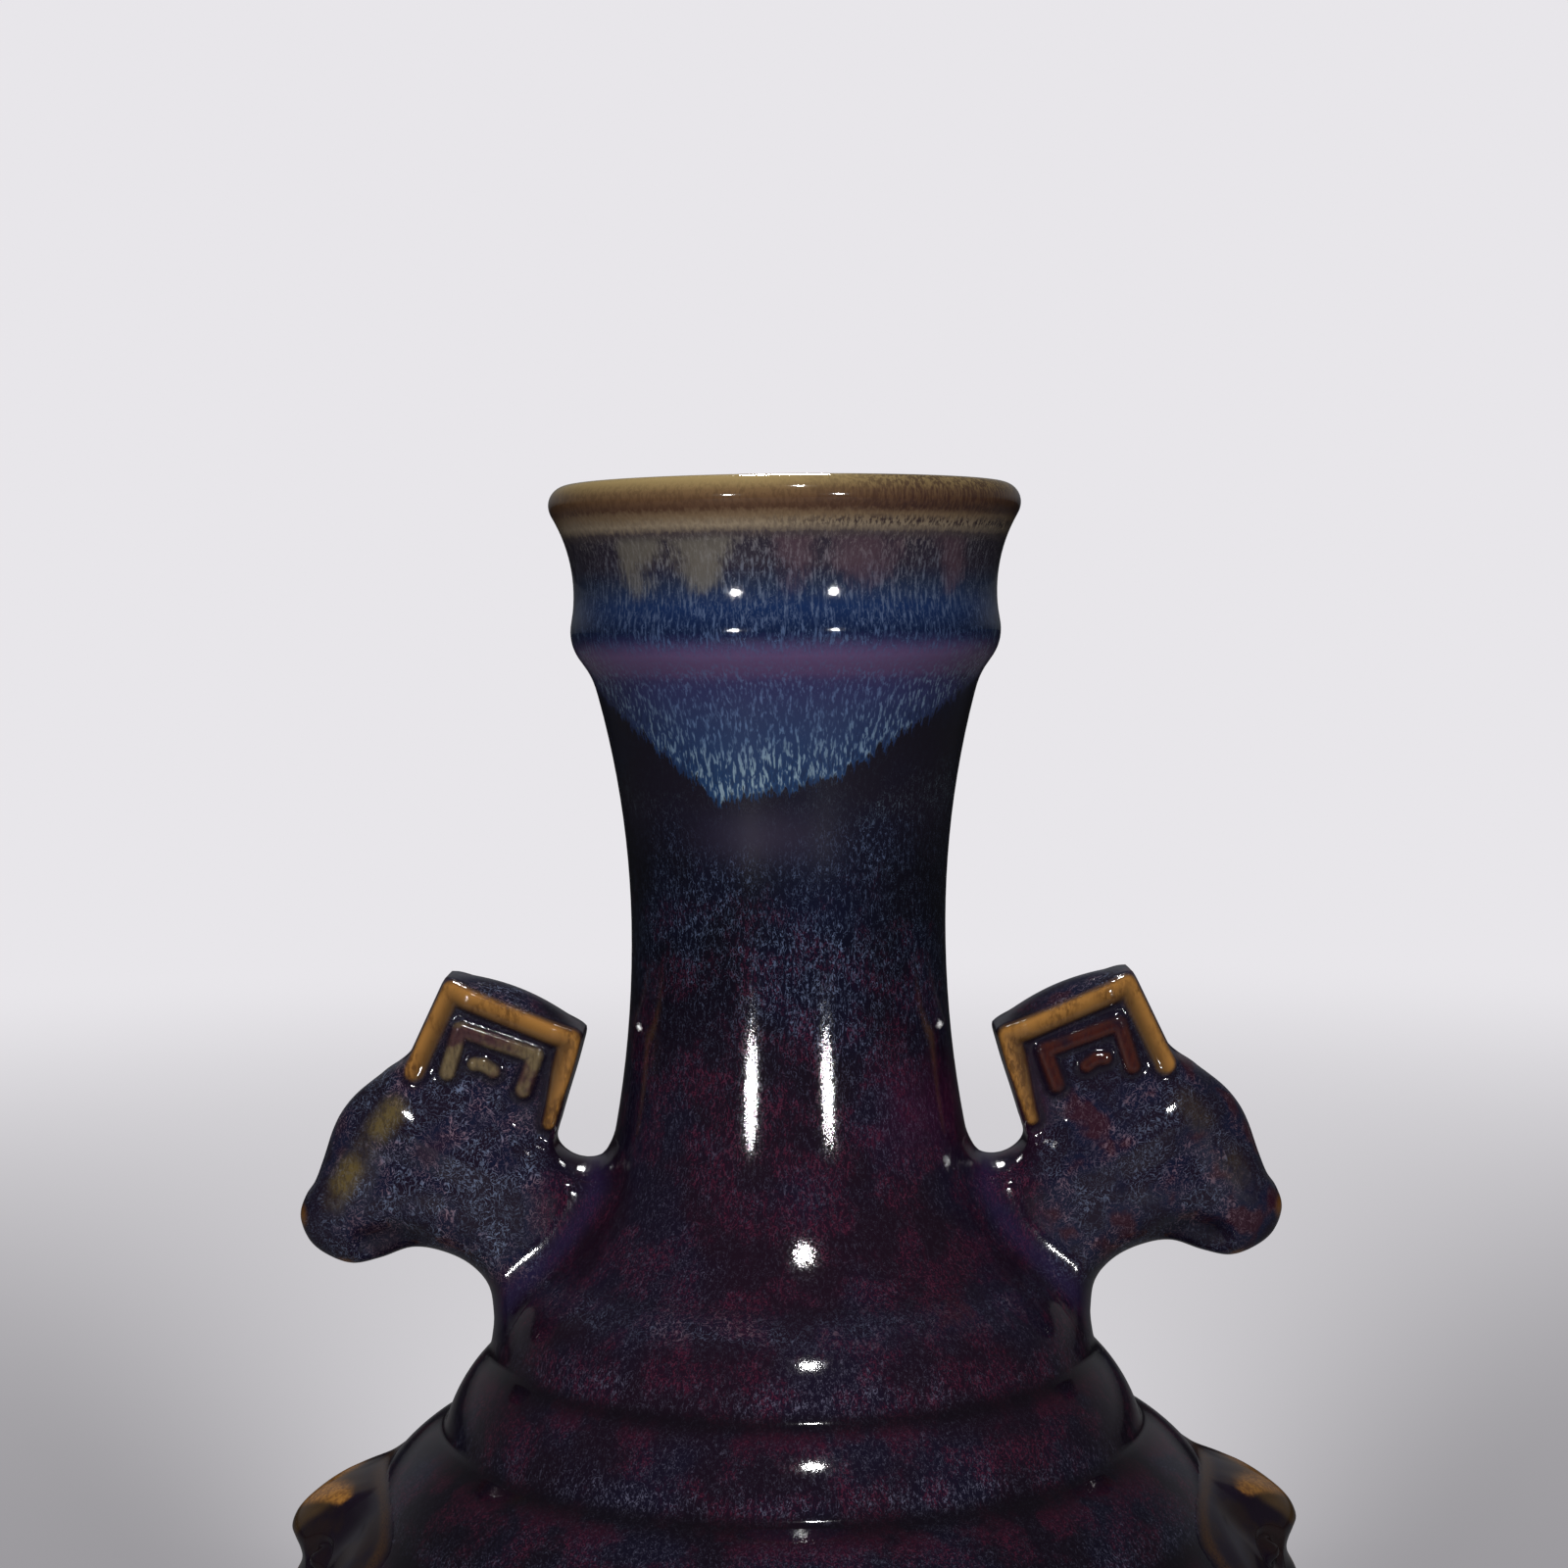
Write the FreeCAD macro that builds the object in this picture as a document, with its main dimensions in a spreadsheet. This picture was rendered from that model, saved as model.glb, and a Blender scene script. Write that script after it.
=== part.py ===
import FreeCAD, Part
import math
import os
import Sketcher

from FreeCAD import Rotation, Vector

# Jun ware vase: one piece of thrown stoneware with a dished collar, a slim waisted neck, three
# ribs round the shoulder, two beast-head ears on the neck and two beast-mask bosses on the belly.
# Millimetres, +Z up, origin on the table under the middle of the foot. The ears and the bosses
# point along +X and -X, and the vase is the same on both sides of its middle planes.

# Driving dimensions. A radius is from the vase's axis, and an inset is how much nearer to the axis
# a turn of the outline lies than the wider turn beside it. A rise is the height from one turn to the
# next, so all above follows when one of them changes. A reach is how far a place on an ear lies out
# from the neck's flare, or a place on a boss out from the belly.
SIZES = [
    # the thrown body, from the foot up
    ("foot_radius", 53.0),
    ("foot_height", 7.0),
    ("foot_edge", 1.5),
    ("foot_ring_width", 7.0),
    ("foot_recess", 5.4),
    ("foot_draft", 1.5),
    ("ankle_inset", 2.5),
    ("ankle_rise", 5.2),
    ("ankle_curve", 8.0),
    ("belly_radius", 89.0),
    ("belly_rise", 115.8),
    ("shoulder_inset", 14.7),
    ("shoulder_rise", 36.2),
    ("rib_3_inset", 13.4),
    ("rib_3_rise", 12.8),
    ("rib_2_inset", 8.5),
    ("rib_2_rise", 13.4),
    ("rib_1_inset", 9.9),
    ("rib_1_rise", 15.1),
    ("rib_curve", 26.0),
    ("flare_spread", 3.1),
    ("flare_rise", 23.5),
    ("flare_curve", 46.0),
    ("neck_radius", 27.3),
    ("neck_lower_rise", 34.0),
    ("neck_upper_rise", 42.3),
    ("neck_band", 28.0),
    ("collar_foot_radius", 33.0),
    ("collar_bend_radius", 35.1),
    ("collar_bend_rise", 4.0),
    ("collar_edge_rise", 5.5),
    ("collar_top_radius", 36.85),
    ("collar_top_rise", 2.5),
    ("collar_waist_rise", 3.9),
    ("lip_under_radius", 39.9),
    ("lip_under_rise", 12.9),
    ("lip_crest_radius", 37.3),
    ("lip_centre_rise", 2.4),
    ("lip_roll", 3.5),
    # the hollow
    ("wall", 4.8),
    ("shoulder_slant", 1.8),
    ("rib_bore_curve", 150.0),
    ("dish_depth", 46.0),
    ("belly_bore_wall", 6.0),
    ("belly_bore_band", 30.0),
    ("belly_bore_drop", 6.0),
    ("floor_thickness", 7.6),
    ("floor_corner_inset", 2.0),
    ("floor_corner_reach", 11.5),
    ("floor_corner_rise", 9.5),
    ("floor_corner_curve", 13.0),
    # the squared horn of an ear, with its frame and scroll
    ("horn_thickness", 15.4),
    ("horn_lean", 21.0),
    ("horn_foot_reach", 15.0),
    ("horn_foot_drop", 8.2),
    ("horn_length", 25.4),
    ("horn_depth", 27.0),
    ("horn_corner", 1.8),
    ("relief", 1.1),
    ("frame_width", 3.6),
    ("frame_outer_leg", 20.5),
    ("frame_inner_leg", 19.0),
    ("scroll_gap", 2.1),
    ("scroll_width", 2.3),
    ("scroll_outer_leg", 9.0),
    ("scroll_inner_leg", 10.5),
    ("hook_length", 5.4),
    ("hook_drop", 4.6),
    # the beast-mask bosses
    ("mask_rise", 24.0),
    ("nose_depth", 9.0),
    ("nose_bridge_reach", -3.0),
    ("nose_tip_reach", -1.4),
    ("nose_top_rise", 5.0),
    ("nose_tip_drop", 8.0),
    ("nose_length", 17.5),
    ("nose_width", 6.0),
]

# Sections of a beast's head, from its root in the shoulder to the tip of the nose: the reach of the
# section, the heights of its top and of its bottom under the flare's top, and its width.
HEAD_SECTIONS = [
    ("root", 0.6, 3.0, 47.0, 25.0),
    ("nape", 9.6, 2.0, 41.0, 23.0),
    ("jowl", 20.1, -3.0, 34.5, 21.0),
    ("cheek", 26.6, -9.0, 25.0, 21.0),
    ("brow", 35.6, -13.0, 21.3, 21.0),
    ("bridge", 43.6, -6.5, 23.0, 18.5),
    ("muzzle", 49.1, 0.5, 22.8, 15.5),
    ("nostril", 52.4, 8.5, 20.8, 10.5),
    ("nose", 54.2, 13.5, 18.0, 4.0),
]

# Sections of a beast's mask, from inside the belly's wall to its face: reach, height and width.
MASK_SECTIONS = [
    ("back", -24.0, 31.5, 42.0),
    ("rim", -13.0, 31.0, 41.0),
    ("edge", -7.7, 27.2, 37.0),
    ("face", -3.3, 18.4, 27.0),
]

# Sections of the brow over a mask, from its middle to one end: distance from the middle, reach,
# height over the mask's middle, and thickness.
BROW_SECTIONS = [
    ("middle", 0.0, -4.5, 7.0, 5.6),
    ("bend", 9.0, -6.3, 9.4, 4.8),
    ("end", 17.5, -14.0, 13.0, 3.4),
]

for place, reach, top, bottom, width in HEAD_SECTIONS:
    SIZES += [
        (f"head_{place}_reach", reach),
        (f"head_{place}_top", top),
        (f"head_{place}_bottom", bottom),
        (f"head_{place}_width", width),
    ]
for place, reach, height, width in MASK_SECTIONS:
    SIZES += [
        (f"mask_{place}_reach", reach),
        (f"mask_{place}_height", height),
        (f"mask_{place}_width", width),
    ]
for place, distance, reach, rise, thickness in BROW_SECTIONS:
    SIZES += [
        (f"brow_{place}_distance", distance),
        (f"brow_{place}_reach", reach),
        (f"brow_{place}_rise", rise),
        (f"brow_{place}_thickness", thickness),
    ]

# Radii and levels over the table, worked out from the sizes above.
WORKED_OUT = [
    ("ankle_radius", "foot_radius - ankle_inset"),
    ("shoulder_radius", "belly_radius - shoulder_inset"),
    ("rib_3_radius", "shoulder_radius - rib_3_inset"),
    ("rib_2_radius", "rib_3_radius - rib_2_inset"),
    ("rib_1_radius", "rib_2_radius - rib_1_inset"),
    ("flare_radius", "neck_radius + flare_spread"),
    ("floor_corner_radius", "ankle_radius - floor_corner_inset"),
    ("floor_radius", "floor_corner_radius - floor_corner_reach"),
    ("belly_bore_radius", "belly_radius - belly_bore_wall"),
    ("ankle_level", "foot_height + ankle_rise"),
    ("belly_level", "ankle_level + belly_rise"),
    ("shoulder_level", "belly_level + shoulder_rise"),
    ("rib_3_level", "shoulder_level + rib_3_rise"),
    ("rib_2_level", "rib_3_level + rib_2_rise"),
    ("rib_1_level", "rib_2_level + rib_1_rise"),
    ("flare_level", "rib_1_level + flare_rise"),
    ("neck_level", "flare_level + neck_lower_rise"),
    ("collar_foot_level", "neck_level + neck_upper_rise"),
    ("collar_bend_level", "collar_foot_level + collar_bend_rise"),
    ("collar_edge_level", "collar_bend_level + collar_edge_rise"),
    ("collar_top_level", "collar_edge_level + collar_top_rise"),
    ("collar_waist_level", "collar_top_level + collar_waist_rise"),
    ("lip_under_level", "collar_waist_level + lip_under_rise"),
    ("lip_centre_level", "lip_under_level + lip_centre_rise"),
    ("rim_level", "lip_centre_level + lip_roll"),
    ("floor_level", "foot_recess + floor_thickness"),
    ("floor_corner_level", "floor_level + floor_corner_rise"),
    ("neck_low_level", "neck_level - neck_band / 2"),
    ("neck_high_level", "neck_level + neck_band / 2"),
    ("dish_foot_level", "rim_level - dish_depth"),
    ("bore_low_level", "belly_level - belly_bore_drop - belly_bore_band / 2"),
    ("bore_high_level", "belly_level - belly_bore_drop + belly_bore_band / 2"),
    ("mask_level", "belly_level + mask_rise"),
]

# An oval section is drawn with this many short flats.
OVAL_SIDES = 16

for place, *_ in HEAD_SECTIONS:
    middle = f"flare_level - (head_{place}_top + head_{place}_bottom) / 2"
    WORKED_OUT.append((f"head_{place}_middle", middle))

# How a sketch numbers the ends and the centre of an edge, and the origin on its level axis.
START, END, CENTRE = 1, 2, 3
ORIGIN = (-1, START)

doc = FreeCAD.newDocument("JunWareVase")
sheet = doc.addObject("Spreadsheet::Sheet", "Sizes")
for row, (alias, value) in enumerate(SIZES + WORKED_OUT, start=1):
    sheet.set(f"A{row}", alias)
    sheet.set(f"B{row}", f"={value}" if isinstance(value, str) else str(value))
    sheet.setAlias(f"B{row}", alias)
doc.recompute()


def bound(text):
    """A sum of sizes and numbers as an expression on the sheet."""
    return " ".join("Sizes." + word if word[0].isalpha() else word for word in text.split())


def worked_out(text):
    """The present value of a sum of sizes and numbers."""
    total, sign = 0.0, 1.0
    for word in text.split():
        if word in "+-":
            sign = 1.0 if word == "+" else -1.0
        else:
            total += sign * (float(sheet.get(word)) if word[0].isalpha() else float(word))
    return total


def new_sketch(body, name, role):
    """A sketch on one of the body's own origin planes."""
    sketch = body.newObject("Sketcher::SketchObject", name)
    plane = next(p for p in body.Origin.OriginFeatures if p.Role == role)
    sketch.AttachmentSupport = [(plane, "")]
    sketch.MapMode = "FlatFace"
    return sketch


def limit(sketch, text, kind, *where):
    """Adds a constraint whose value is a sum of sizes."""
    index = sketch.addConstraint(Sketcher.Constraint(kind, *where, worked_out(text)))
    sketch.setExpression(f"Constraints[{index}]", bound(text))


def hold(sketch, end, across, up):
    """Binds a point of a sketch to its two coordinates, each a sum of sizes, or to the upright or
    the level axis, which a sketch numbers -2 and -1."""
    for kind, text, axis in (("DistanceX", across, -2), ("DistanceY", up, -1)):
        if text == "0":
            sketch.addConstraint(Sketcher.Constraint("PointOnObject", *end, axis))
        else:
            limit(sketch, text, kind, *ORIGIN, *end)


class Outline:
    """A closed outline drawn turn by turn in a sketch, with each place bound to the sheet."""

    def __init__(self, sketch, across, up):
        self.sketch = sketch
        self.start = self.place = (across, up)
        self.here = Vector(worked_out(across), worked_out(up), 0)
        self.first_end = None
        self.last_end = None

    def join(self, edge, begin, finish, place):
        """Joins a new edge to the one before it, and binds its far end, if it has a place of its
        own, or closes the outline."""
        if self.last_end is None:
            self.first_end = (edge, begin)
            hold(self.sketch, self.first_end, *self.place)
        else:
            self.sketch.addConstraint(Sketcher.Constraint("Coincident", *self.last_end, edge, begin))
        self.last_end = (edge, finish)
        if place == self.start:
            self.sketch.addConstraint(Sketcher.Constraint("Coincident", edge, finish, *self.first_end))
        elif place:
            hold(self.sketch, self.last_end, *place)

    def line(self, across, up):
        """A straight edge to the next place."""
        there = Vector(worked_out(across), worked_out(up), 0)
        edge = self.sketch.addGeometry(Part.LineSegment(self.here, there))
        self.join(edge, START, END, (across, up))
        self.here = there

    def arc(self, across, up, flats, radius=None, side=1, level=None):
        """A round stretch to the next place, as equal short flats on a guide arc. The arc has a
        named radius, with its centre to the left of the way drawn for a side of 1 and to the
        right for -1, or its centre lies at a named level."""
        a, b = self.here, Vector(worked_out(across), worked_out(up), 0)
        if level:
            centre_up = worked_out(level)
            far = b.x**2 - a.x**2 + (b.y - centre_up) ** 2 - (a.y - centre_up) ** 2
            centre = Vector(far / (2 * (b.x - a.x)), centre_up, 0)
        else:
            half = (b - a).Length / 2
            rise = math.sqrt(worked_out(radius) ** 2 - half**2)
            centre = (a + b) * 0.5 + Vector(a.y - b.y, b.x - a.x, 0).normalize() * rise * side
        from_angle, to_angle = (math.atan2(p.y - centre.y, p.x - centre.x) for p in (a, b))
        turn = (to_angle - from_angle + math.pi) % (2 * math.pi) - math.pi
        reach = (a - centre).Length
        circle = Part.Circle(centre, Vector(0, 0, 1), reach)
        ends = (from_angle, from_angle + turn) if turn > 0 else (from_angle + turn, from_angle)
        guide = self.sketch.addGeometry(Part.ArcOfCircle(circle, *ends), True)
        if level:
            limit(self.sketch, level, "DistanceY", *ORIGIN, guide, CENTRE)
        else:
            limit(self.sketch, radius, "Radius", guide)
        first = None
        for step in range(1, flats + 1):
            angle = from_angle + turn * step / flats
            there = centre + Vector(math.cos(angle), math.sin(angle), 0) * reach
            edge = self.sketch.addGeometry(Part.LineSegment(self.here, there))
            if first is None:
                first = edge
                guide_start = START if turn > 0 else END
                self.join(edge, START, END, (across, up) if flats == 1 else None)
                self.sketch.addConstraint(
                    Sketcher.Constraint("Coincident", edge, START, guide, guide_start)
                )
            else:
                self.join(edge, START, END, (across, up) if step == flats else None)
                self.sketch.addConstraint(Sketcher.Constraint("Equal", first, edge))
            guide_place = (guide, END if turn > 0 else START) if step == flats else (guide,)
            kind = "Coincident" if step == flats else "PointOnObject"
            self.sketch.addConstraint(Sketcher.Constraint(kind, edge, END, *guide_place))
            self.here = there
        self.here = b

    def bend(self, *places):
        """Straight edges through several places."""
        for across, up in places:
            self.line(across, up)


def turn_about_axis(body, kind, name, sketch):
    """Turns a sketch's outline about the vase's axis, as clay or as a hollow."""
    feature = body.newObject(f"PartDesign::{kind}", name)
    feature.Profile = sketch
    feature.ReferenceAxis = (sketch, ["V_Axis"])
    feature.Angle = 360
    return feature


def thrown_body(body):
    """The body as thrown: foot, belly, ribbed shoulder, neck, collar and rolled lip, still solid."""
    sketch = new_sketch(body, "BodyOutline", "XZ_Plane")
    outline = Outline(sketch, "0", "0")
    outline.line("foot_radius - foot_edge", "0")
    outline.line("foot_radius", "foot_edge")
    outline.line("foot_radius", "foot_height")
    outline.arc("ankle_radius", "ankle_level", 1, radius="ankle_curve", side=-1)
    outline.arc("belly_radius", "belly_level", 4, level="belly_level")
    outline.arc("shoulder_radius", "shoulder_level", 2, level="belly_level")
    outline.arc("rib_3_radius", "rib_3_level", 3, radius="rib_curve")
    outline.arc("rib_2_radius", "rib_2_level", 3, radius="rib_curve")
    outline.arc("rib_1_radius", "rib_1_level", 2, radius="rib_curve")
    outline.arc("flare_radius", "flare_level", 3, radius="flare_curve", side=-1)
    outline.arc("neck_radius", "neck_low_level", 1, level="neck_low_level")
    outline.line("neck_radius", "neck_high_level")
    outline.arc("collar_foot_radius", "collar_foot_level", 2, level="neck_high_level")
    outline.line("collar_bend_radius", "collar_bend_level")
    outline.arc("collar_top_radius", "collar_top_level", 2, level="collar_edge_level")
    outline.arc("lip_under_radius", "lip_under_level", 2, level="collar_waist_level")
    outline.arc("lip_crest_radius", "rim_level", 3, level="lip_centre_level")
    outline.line("0", "rim_level")
    outline.line("0", "0")
    return turn_about_axis(body, "Revolution", "ThrownBody", sketch)


def hollow(body):
    """The inside, from the crest of the lip through the bore of the neck to the floor."""
    sketch = new_sketch(body, "HollowOutline", "XZ_Plane")
    outline = Outline(sketch, "0", "rim_level")
    outline.line("lip_crest_radius", "rim_level")
    outline.arc("lip_crest_radius - lip_roll", "lip_centre_level", 1, radius="lip_roll")
    outline.line("collar_top_radius - wall", "collar_top_level")
    outline.line("neck_radius - wall", "dish_foot_level")
    outline.line("neck_radius - wall", "flare_level")
    outline.line("rib_1_radius - wall - shoulder_slant", "rib_1_level")
    outline.arc(
        "shoulder_radius - wall - shoulder_slant", "shoulder_level", 2, radius="rib_bore_curve"
    )
    outline.line("belly_bore_radius", "bore_high_level")
    outline.line("belly_bore_radius", "bore_low_level")
    outline.arc("floor_corner_radius", "floor_corner_level", 2, level="bore_low_level")
    outline.arc("floor_radius", "floor_level", 1, radius="floor_corner_curve", side=-1)
    outline.line("0", "floor_level")
    outline.line("0", "rim_level")
    return turn_about_axis(body, "Groove", "Hollow", sketch)


def foot_recess(body):
    """The recess turned under the foot, which leaves the ring that the vase stands on."""
    sketch = new_sketch(body, "RecessOutline", "XZ_Plane")
    outline = Outline(sketch, "0", "0")
    outline.line("foot_radius - foot_ring_width", "0")
    outline.line("foot_radius - foot_ring_width - foot_draft", "foot_recess")
    outline.line("0", "foot_recess")
    outline.line("0", "0")
    return turn_about_axis(body, "Groove", "FootRecess", sketch)


def oval(body, name, role, distance, across, up, width, height):
    """An oval with short flat sides on a plane at a distance from an origin plane: the place of
    its middle, its width and its height."""
    sketch = new_sketch(body, name, role)
    sketch.AttachmentOffset = FreeCAD.Placement(Vector(0, 0, worked_out(distance)), Rotation())
    sketch.setExpression("AttachmentOffset.Base.z", bound(distance))
    middle = Vector(worked_out(across), worked_out(up), 0)
    half_width, half_height = worked_out(width) / 2, worked_out(height) / 2
    bearings = [(side + 0.5) * 360 / OVAL_SIDES for side in range(OVAL_SIDES)]
    turns = [(math.sin(math.radians(b)), math.cos(math.radians(b))) for b in bearings]
    corners = [middle + Vector(half_width * x, half_height * y, 0) for x, y in turns]
    for side, (bearing, corner) in enumerate(zip(bearings, corners)):
        edge = sketch.addGeometry(Part.LineSegment(corners[side - 1], corner))
        if side:
            sketch.addConstraint(Sketcher.Constraint("Coincident", edge - 1, END, edge, START))
        for kind, place, text, value in (
            ("DistanceX", across, f"({bound(width)}) / 2 * sin({bearing} deg)", corner.x),
            ("DistanceY", up, f"({bound(height)}) / 2 * cos({bearing} deg)", corner.y),
        ):
            index = sketch.addConstraint(Sketcher.Constraint(kind, *ORIGIN, edge, END, value))
            sketch.setExpression(f"Constraints[{index}]", f"{bound(place)} + {text}")
    sketch.addConstraint(Sketcher.Constraint("Coincident", OVAL_SIDES - 1, END, 0, START))
    return sketch


def loft(body, name, sketches):
    """A form through a row of sections."""
    feature = body.newObject("PartDesign::AdditiveLoft", name)
    feature.Profile = sketches[0]
    feature.Sections = sketches[1:]
    feature.Ruled = True
    return feature


def beast_head(body):
    """The head of the ear at +X, from its root in the shoulder to its nose."""
    ovals = [
        oval(
            body,
            f"Head{place.title()}",
            "YZ_Plane",
            f"flare_radius + head_{place}_reach",
            "0",
            f"head_{place}_middle",
            f"head_{place}_width",
            f"head_{place}_bottom - head_{place}_top",
        )
        for place, *_ in HEAD_SECTIONS
    ]
    return loft(body, "BeastHead", ovals)


def horn_sketch(body, name):
    """A sketch in the ear's middle plane that leans with the horn, from its inner lower corner."""
    sketch = new_sketch(body, name, "XZ_Plane")
    foot = Vector(worked_out("flare_radius + horn_foot_reach"), 0, 0)
    foot.y = worked_out("flare_level - horn_foot_drop")
    lean = Rotation(Vector(0, 0, 1), worked_out("horn_lean"))
    sketch.AttachmentOffset = FreeCAD.Placement(foot, lean)
    sketch.setExpression("AttachmentOffset.Base.x", bound("flare_radius + horn_foot_reach"))
    sketch.setExpression("AttachmentOffset.Base.y", bound("flare_level - horn_foot_drop"))
    sketch.setExpression("AttachmentOffset.Rotation.Angle", bound("horn_lean"))
    return sketch


def pad_both_ways(body, name, sketch, thickness):
    """Thickens a sketch evenly to both sides of its plane."""
    feature = body.newObject("PartDesign::Pad", name)
    feature.Profile = sketch
    feature.SideType = "Symmetric"
    feature.setExpression("Length", thickness)
    return feature


def horn(body):
    """The squared horn on top of the head."""
    sketch = horn_sketch(body, "HornOutline")
    outline = Outline(sketch, "0", "0")
    outline.bend(
        ("horn_length", "0"), ("horn_length", "horn_depth"), ("0", "horn_depth"), ("0", "0")
    )
    return pad_both_ways(body, "Horn", sketch, "Sizes.horn_thickness")


def scroll(body):
    """The raised frame on the horn's two faces, and the squared scroll with its hook inside it."""
    sketch = horn_sketch(body, "ScrollOutline")
    far = "horn_length - frame_width"
    top = "horn_depth - frame_width"
    frame = Outline(sketch, "0", "horn_depth")
    frame.bend(
        ("0", "horn_depth - frame_inner_leg"),
        ("frame_width", "horn_depth - frame_inner_leg"),
        ("frame_width", top),
        (far, top),
        (far, "horn_depth - frame_outer_leg"),
        ("horn_length", "horn_depth - frame_outer_leg"),
        ("horn_length", "horn_depth"),
        ("0", "horn_depth"),
    )
    near, far, top = "frame_width + scroll_gap", f"{far} - scroll_gap", f"{top} - scroll_gap"
    inner = Outline(sketch, near, top)
    inner.bend(
        (near, f"{top} - scroll_inner_leg"),
        (f"{near} + scroll_width", f"{top} - scroll_inner_leg"),
        (f"{near} + scroll_width", f"{top} - scroll_width"),
        (f"{far} - scroll_width", f"{top} - scroll_width"),
        (f"{far} - scroll_width", f"{top} - scroll_outer_leg"),
        (far, f"{top} - scroll_outer_leg"),
        (far, top),
        (near, top),
    )
    near = f"{near} + scroll_width + scroll_gap"
    top = f"{top} - scroll_width - scroll_gap"
    hook = Outline(sketch, near, top)
    hook.bend(
        (near, f"{top} - hook_drop"),
        (f"{near} + scroll_width", f"{top} - hook_drop"),
        (f"{near} + scroll_width", f"{top} - scroll_width"),
        (f"{near} + hook_length", f"{top} - scroll_width"),
        (f"{near} + hook_length", top),
        (near, top),
    )
    return pad_both_ways(body, "Scroll", sketch, "Sizes.horn_thickness + 2 * Sizes.relief")


def mask(body):
    """The beast-mask boss on the belly at +X: its domed form, its brow and its nose."""
    ovals = [
        oval(
            body,
            f"Mask{place.title()}",
            "YZ_Plane",
            f"belly_radius + mask_{place}_reach",
            "0",
            "mask_level",
            f"mask_{place}_width",
            f"mask_{place}_height",
        )
        for place, *_ in MASK_SECTIONS
    ]
    dome = loft(body, "MaskDome", ovals)
    ends = [(place, "-", "Left") for place, *_ in BROW_SECTIONS[:0:-1]]
    ends += [(place, "", "Right") for place, *_ in BROW_SECTIONS]
    ovals = [
        oval(
            body,
            f"Brow{side}{place.title()}",
            "XZ_Plane",
            f"{sign} brow_{place}_distance".strip(),
            f"belly_radius + brow_{place}_reach",
            f"mask_level + brow_{place}_rise",
            f"brow_{place}_thickness",
            f"brow_{place}_thickness",
        )
        for place, sign, side in ends
    ]
    brow = loft(body, "Brow", ovals)
    sketch = new_sketch(body, "NoseOutline", "XZ_Plane")
    bridge = "belly_radius + nose_bridge_reach"
    tip = "belly_radius + nose_tip_reach"
    top = "mask_level + nose_top_rise"
    outline = Outline(sketch, f"{bridge} - nose_depth", top)
    outline.bend(
        (f"{bridge} - nose_depth", f"{top} - nose_length"),
        (bridge, f"{top} - nose_length"),
        (tip, "mask_level - nose_tip_drop"),
        (bridge, "mask_level"),
        (bridge, top),
        (f"{bridge} - nose_depth", top),
    )
    nose = pad_both_ways(body, "Nose", sketch, "Sizes.nose_width")
    return dome, brow, nose


def mirrored(body, features):
    """The same features on the other side of the vase."""
    feature = body.newObject("PartDesign::Mirrored", "OtherSide")
    feature.Originals = list(features)
    plane = next(p for p in body.Origin.OriginFeatures if p.Role == "YZ_Plane")
    feature.MirrorPlane = (plane, [""])
    body.Tip = feature
    return feature


def rounded_horns(body, base, sketch):
    """Rounds the upper corners of both horns."""
    top = worked_out("horn_depth")
    places = [sketch.Placement.multVec(Vector(x, top, 0)) for x in (0, worked_out("horn_length"))]
    edges = []
    for number, edge in enumerate(base.Shape.Edges, start=1):
        middle = edge.valueAt((edge.FirstParameter + edge.LastParameter) / 2)
        for place in places:
            if math.hypot(abs(middle.x) - place.x, middle.z - place.z) < 0.01 and abs(middle.y) < 0.01:
                edges.append(f"Edge{number}")
    feature = body.newObject("PartDesign::Fillet", "HornCorners")
    feature.Base = (base, edges)
    feature.setExpression("Radius", bound("horn_corner"))
    return feature


def check(document):
    """Stops where an object of the document failed."""
    for item in document.Objects:
        if {"Invalid", "Error"} & set(item.State):
            raise RuntimeError(f"{item.Name}: {item.State}")


vase = doc.addObject("PartDesign::Body", "Vase")
vase.Label = "vase"
thrown_body(vase)
head = beast_head(vase)
block = horn(vase)
relief = scroll(vase)
dome, brow, nose = mask(vase)
both = mirrored(vase, (head, block, relief, dome, brow, nose))
doc.recompute()
rounded_horns(vase, both, doc.getObject("HornOutline"))
hollow(vase)
foot_recess(vase)
doc.recompute()
check(doc)

os.makedirs("parts", exist_ok=True)
shape = vase.Shape
if shape.isNull() or not shape.isValid():
    raise RuntimeError("the vase has no valid solid")
print("vase", len(shape.Solids), "solid", round(shape.Volume / 1000, 1), "cm3", shape.BoundBox)
shape.exportStep(f"parts/{vase.Label}.step")
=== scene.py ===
import bpy
import math
import numpy as np

from mathutils import Matrix, Vector


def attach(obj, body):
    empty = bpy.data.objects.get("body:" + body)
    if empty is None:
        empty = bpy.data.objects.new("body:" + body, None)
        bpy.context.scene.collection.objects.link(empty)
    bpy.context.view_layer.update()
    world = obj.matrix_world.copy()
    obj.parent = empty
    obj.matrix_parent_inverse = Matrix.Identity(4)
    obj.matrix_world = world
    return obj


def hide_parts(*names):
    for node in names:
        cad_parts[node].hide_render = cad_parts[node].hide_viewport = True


# Jun ware vase with beast-head ears and beast-mask bosses, in its flambe glaze.
# Lengths are in millimetres, as on the potter's drawing, and turn into metres in each mesh.

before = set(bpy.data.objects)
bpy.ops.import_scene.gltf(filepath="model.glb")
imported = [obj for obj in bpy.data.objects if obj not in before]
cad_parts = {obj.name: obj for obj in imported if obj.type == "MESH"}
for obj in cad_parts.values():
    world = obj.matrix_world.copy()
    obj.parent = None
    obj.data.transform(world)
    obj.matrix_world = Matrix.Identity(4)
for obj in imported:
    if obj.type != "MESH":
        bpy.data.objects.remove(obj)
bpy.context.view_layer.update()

MM = 0.001

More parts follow.
